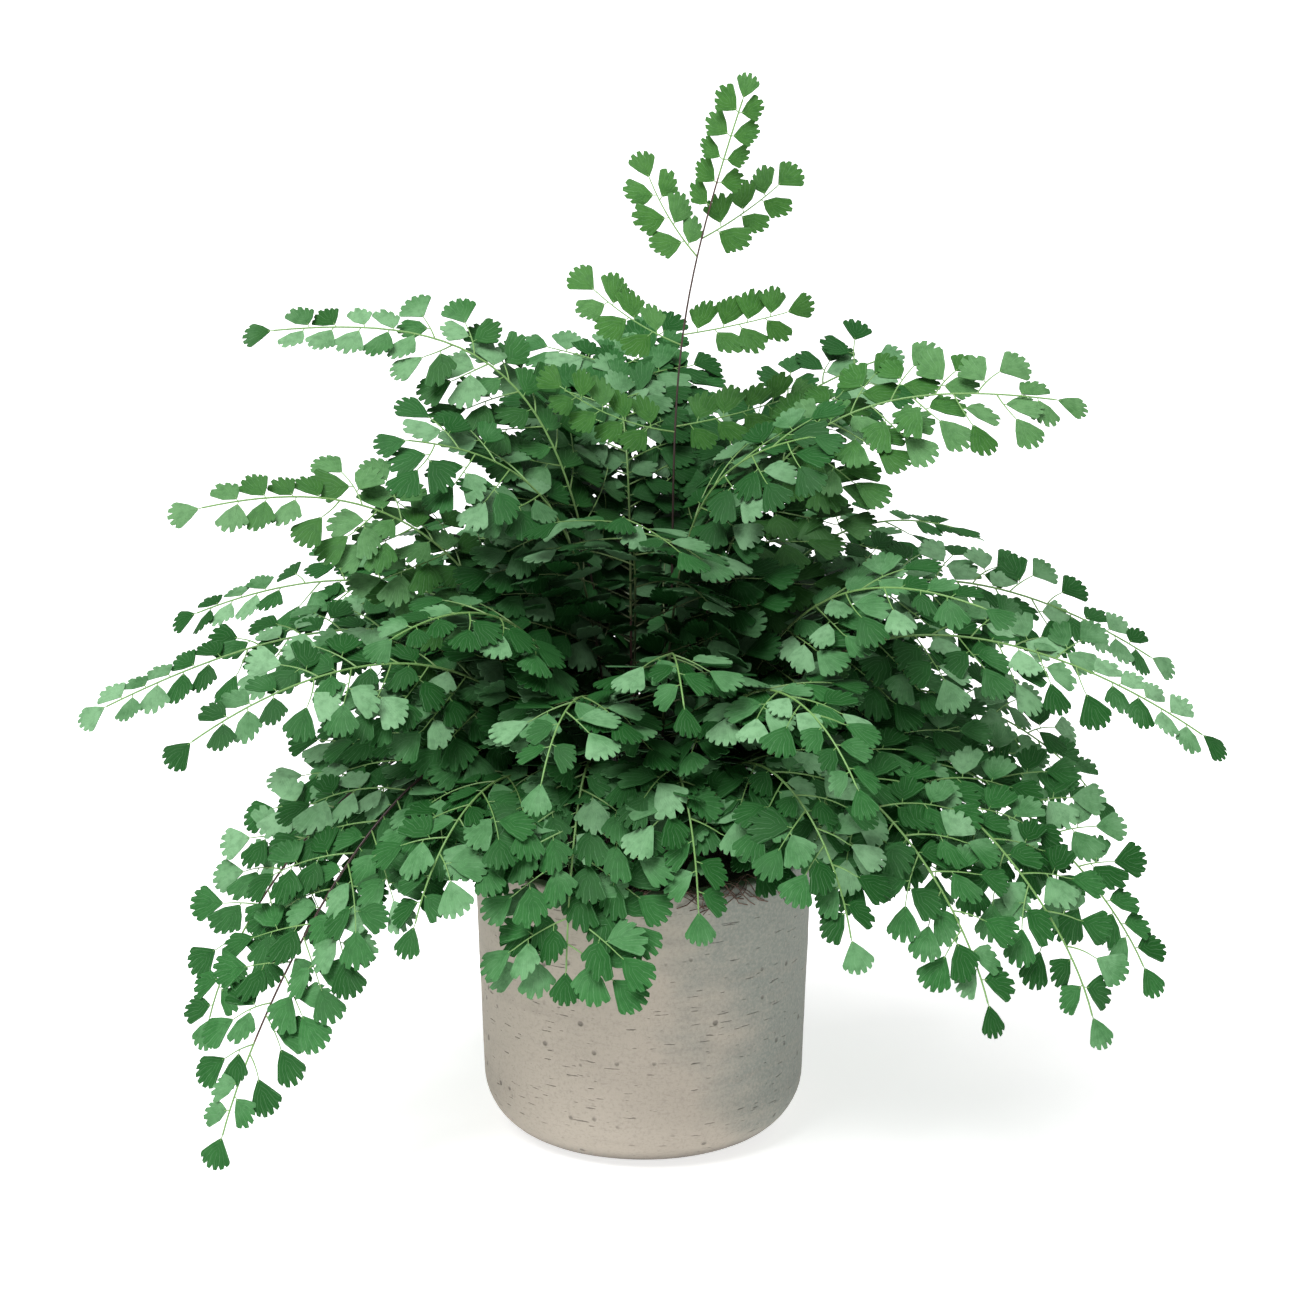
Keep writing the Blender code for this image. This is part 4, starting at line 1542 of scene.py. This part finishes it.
class FERN_OT_stage(bpy.types.Operator):
    """Build the pale floor, the soft lights and the camera"""

    bl_idname = "fern.stage"
    bl_label = "Stage"

    def execute(self, context):
        settings = context.scene.fern_stage
        add_floor()
        add_world(settings.daylight)
        sun = add_light("key", "SUN", settings.key, SUN_DIRECTION)
        sun.angle = math.radians(SUN_SPREAD)
        aim = TOP_LIGHT_AIM - TOP_LIGHT_PLACE
        panel = add_light("top", "AREA", settings.fill, aim, TOP_LIGHT_PLACE)
        panel.shape = "SQUARE"
        panel.size = TOP_LIGHT_SIZE
        add_camera()
        context.scene.view_settings.view_transform = "Standard"
        return {"FINISHED"}


class FERN_OT_pot(bpy.types.Operator):
    """Build the cast concrete pot"""

    bl_idname = "fern.pot"
    bl_label = "Pot"

    def execute(self, context):
        settings = context.scene.fern_pot
        mesh = pot_mesh(settings)
        mesh.materials.append(concrete_material(settings))
        new_piece("pot_cast", mesh, "pot")
        return {"FINISHED"}


class FERN_OT_compost(bpy.types.Operator):
    """Build the compost with the dry roots on it and over the rim"""

    bl_idname = "fern.compost"
    bl_label = "Compost"

    def execute(self, context):
        settings = context.scene.fern_compost
        mesh = compost_mesh()
        mesh.materials.append(compost_material(settings))
        new_piece("compost_top", mesh, "compost")

        fibre = fibre_material(settings)
        stalks = stalk_tree()
        values = {
            "Templates": root_templates(stalks, fibre),
            "Density": settings.fibre_count * SQUARE_METRE,
            "Seed": LITTER_SEED,
            "Material": fibre,
        }
        litter = grow(root_bed(), litter_tree(), values)
        new_piece("compost_roots", litter, None)
        values = {"Sides": STALK_SIDES, "Material": fibre}
        strands = grow(stalk_mesh(rim_roots()), stalks, values)
        new_piece("compost_rim_roots", strands, None)
        return {"FINISHED"}


class FERN_OT_stalks(bpy.types.Operator):
    """Build the stem, side stalks and leaflet stalks of every frond"""

    bl_idname = "fern.stalks"
    bl_label = "Stalks"

    def execute(self, context):
        settings = context.scene.fern_fronds
        tree = stalk_tree()
        material = stalk_material(settings)
        for name, midrib in make_midribs().items():
            plan = FrondPlan(name, midrib, settings)
            values = {"Sides": STALK_SIDES, "Material": material}
            mesh = grow(stalk_mesh(plan.stalks), tree, values)
            mesh.shade_smooth()
            new_piece(f"{name}_stalks", mesh, name)
        return {"FINISHED"}


class FERN_OT_leaflets(bpy.types.Operator):
    """Put the leaflets on every frond"""

    bl_idname = "fern.leaflets"
    bl_label = "Leaflets"

    def execute(self, context):
        settings = context.scene.fern_fronds
        tree = leaflet_tree()
        material = leaf_material(settings)
        templates = leaflet_templates()
        for number, (name, midrib) in enumerate(make_midribs().items()):
            plan = FrondPlan(name, midrib, settings)
            values = {
                "Templates": templates,
                "Tilt": settings.tilt,
                "Seed": settings.seed + number,
                "Material": material,
            }
            mesh = grow(seat_mesh(plan.seats, plan.habit.youth), tree, values)
            new_piece(f"{name}_leaflets", mesh, name)
        return {"FINISHED"}


class FERN_PT_sidebar(bpy.types.Panel):
    bl_label = "Maidenhair Fern"
    bl_idname = "FERN_PT_sidebar"
    bl_space_type = "VIEW_3D"
    bl_region_type = "UI"
    bl_category = "Fern"

    def draw(self, context):
        for operator, settings in STEPS:
            self.layout.operator(operator.bl_idname)
            group = getattr(context.scene, settings)
            for name in group.bl_rna.properties.keys():
                if name not in ("rna_type", "name"):
                    self.layout.prop(group, name)


GROUPS = {
    "fern_stage": StageSettings,
    "fern_pot": PotSettings,
    "fern_compost": CompostSettings,
    "fern_fronds": FrondSettings,
}
STEPS = (
    (FERN_OT_stage, "fern_stage"),
    (FERN_OT_pot, "fern_pot"),
    (FERN_OT_compost, "fern_compost"),
    (FERN_OT_stalks, "fern_fronds"),
    (FERN_OT_leaflets, "fern_fronds"),
)
CLASSES = (*GROUPS.values(), *(operator for operator, _ in STEPS), FERN_PT_sidebar)


def register():
    for cls in CLASSES:
        bpy.utils.register_class(cls)
    for name, group in GROUPS.items():
        setattr(bpy.types.Scene, name, bpy.props.PointerProperty(type=group))


def unregister():
    for name in GROUPS:
        delattr(bpy.types.Scene, name)
    for cls in reversed(CLASSES):
        bpy.utils.unregister_class(cls)


def main():
    register()
    bpy.ops.fern.stage()
    bpy.ops.fern.pot()
    bpy.ops.fern.compost()
    bpy.ops.fern.stalks()
    bpy.ops.fern.leaflets()


if __name__ == "__main__":
    main()
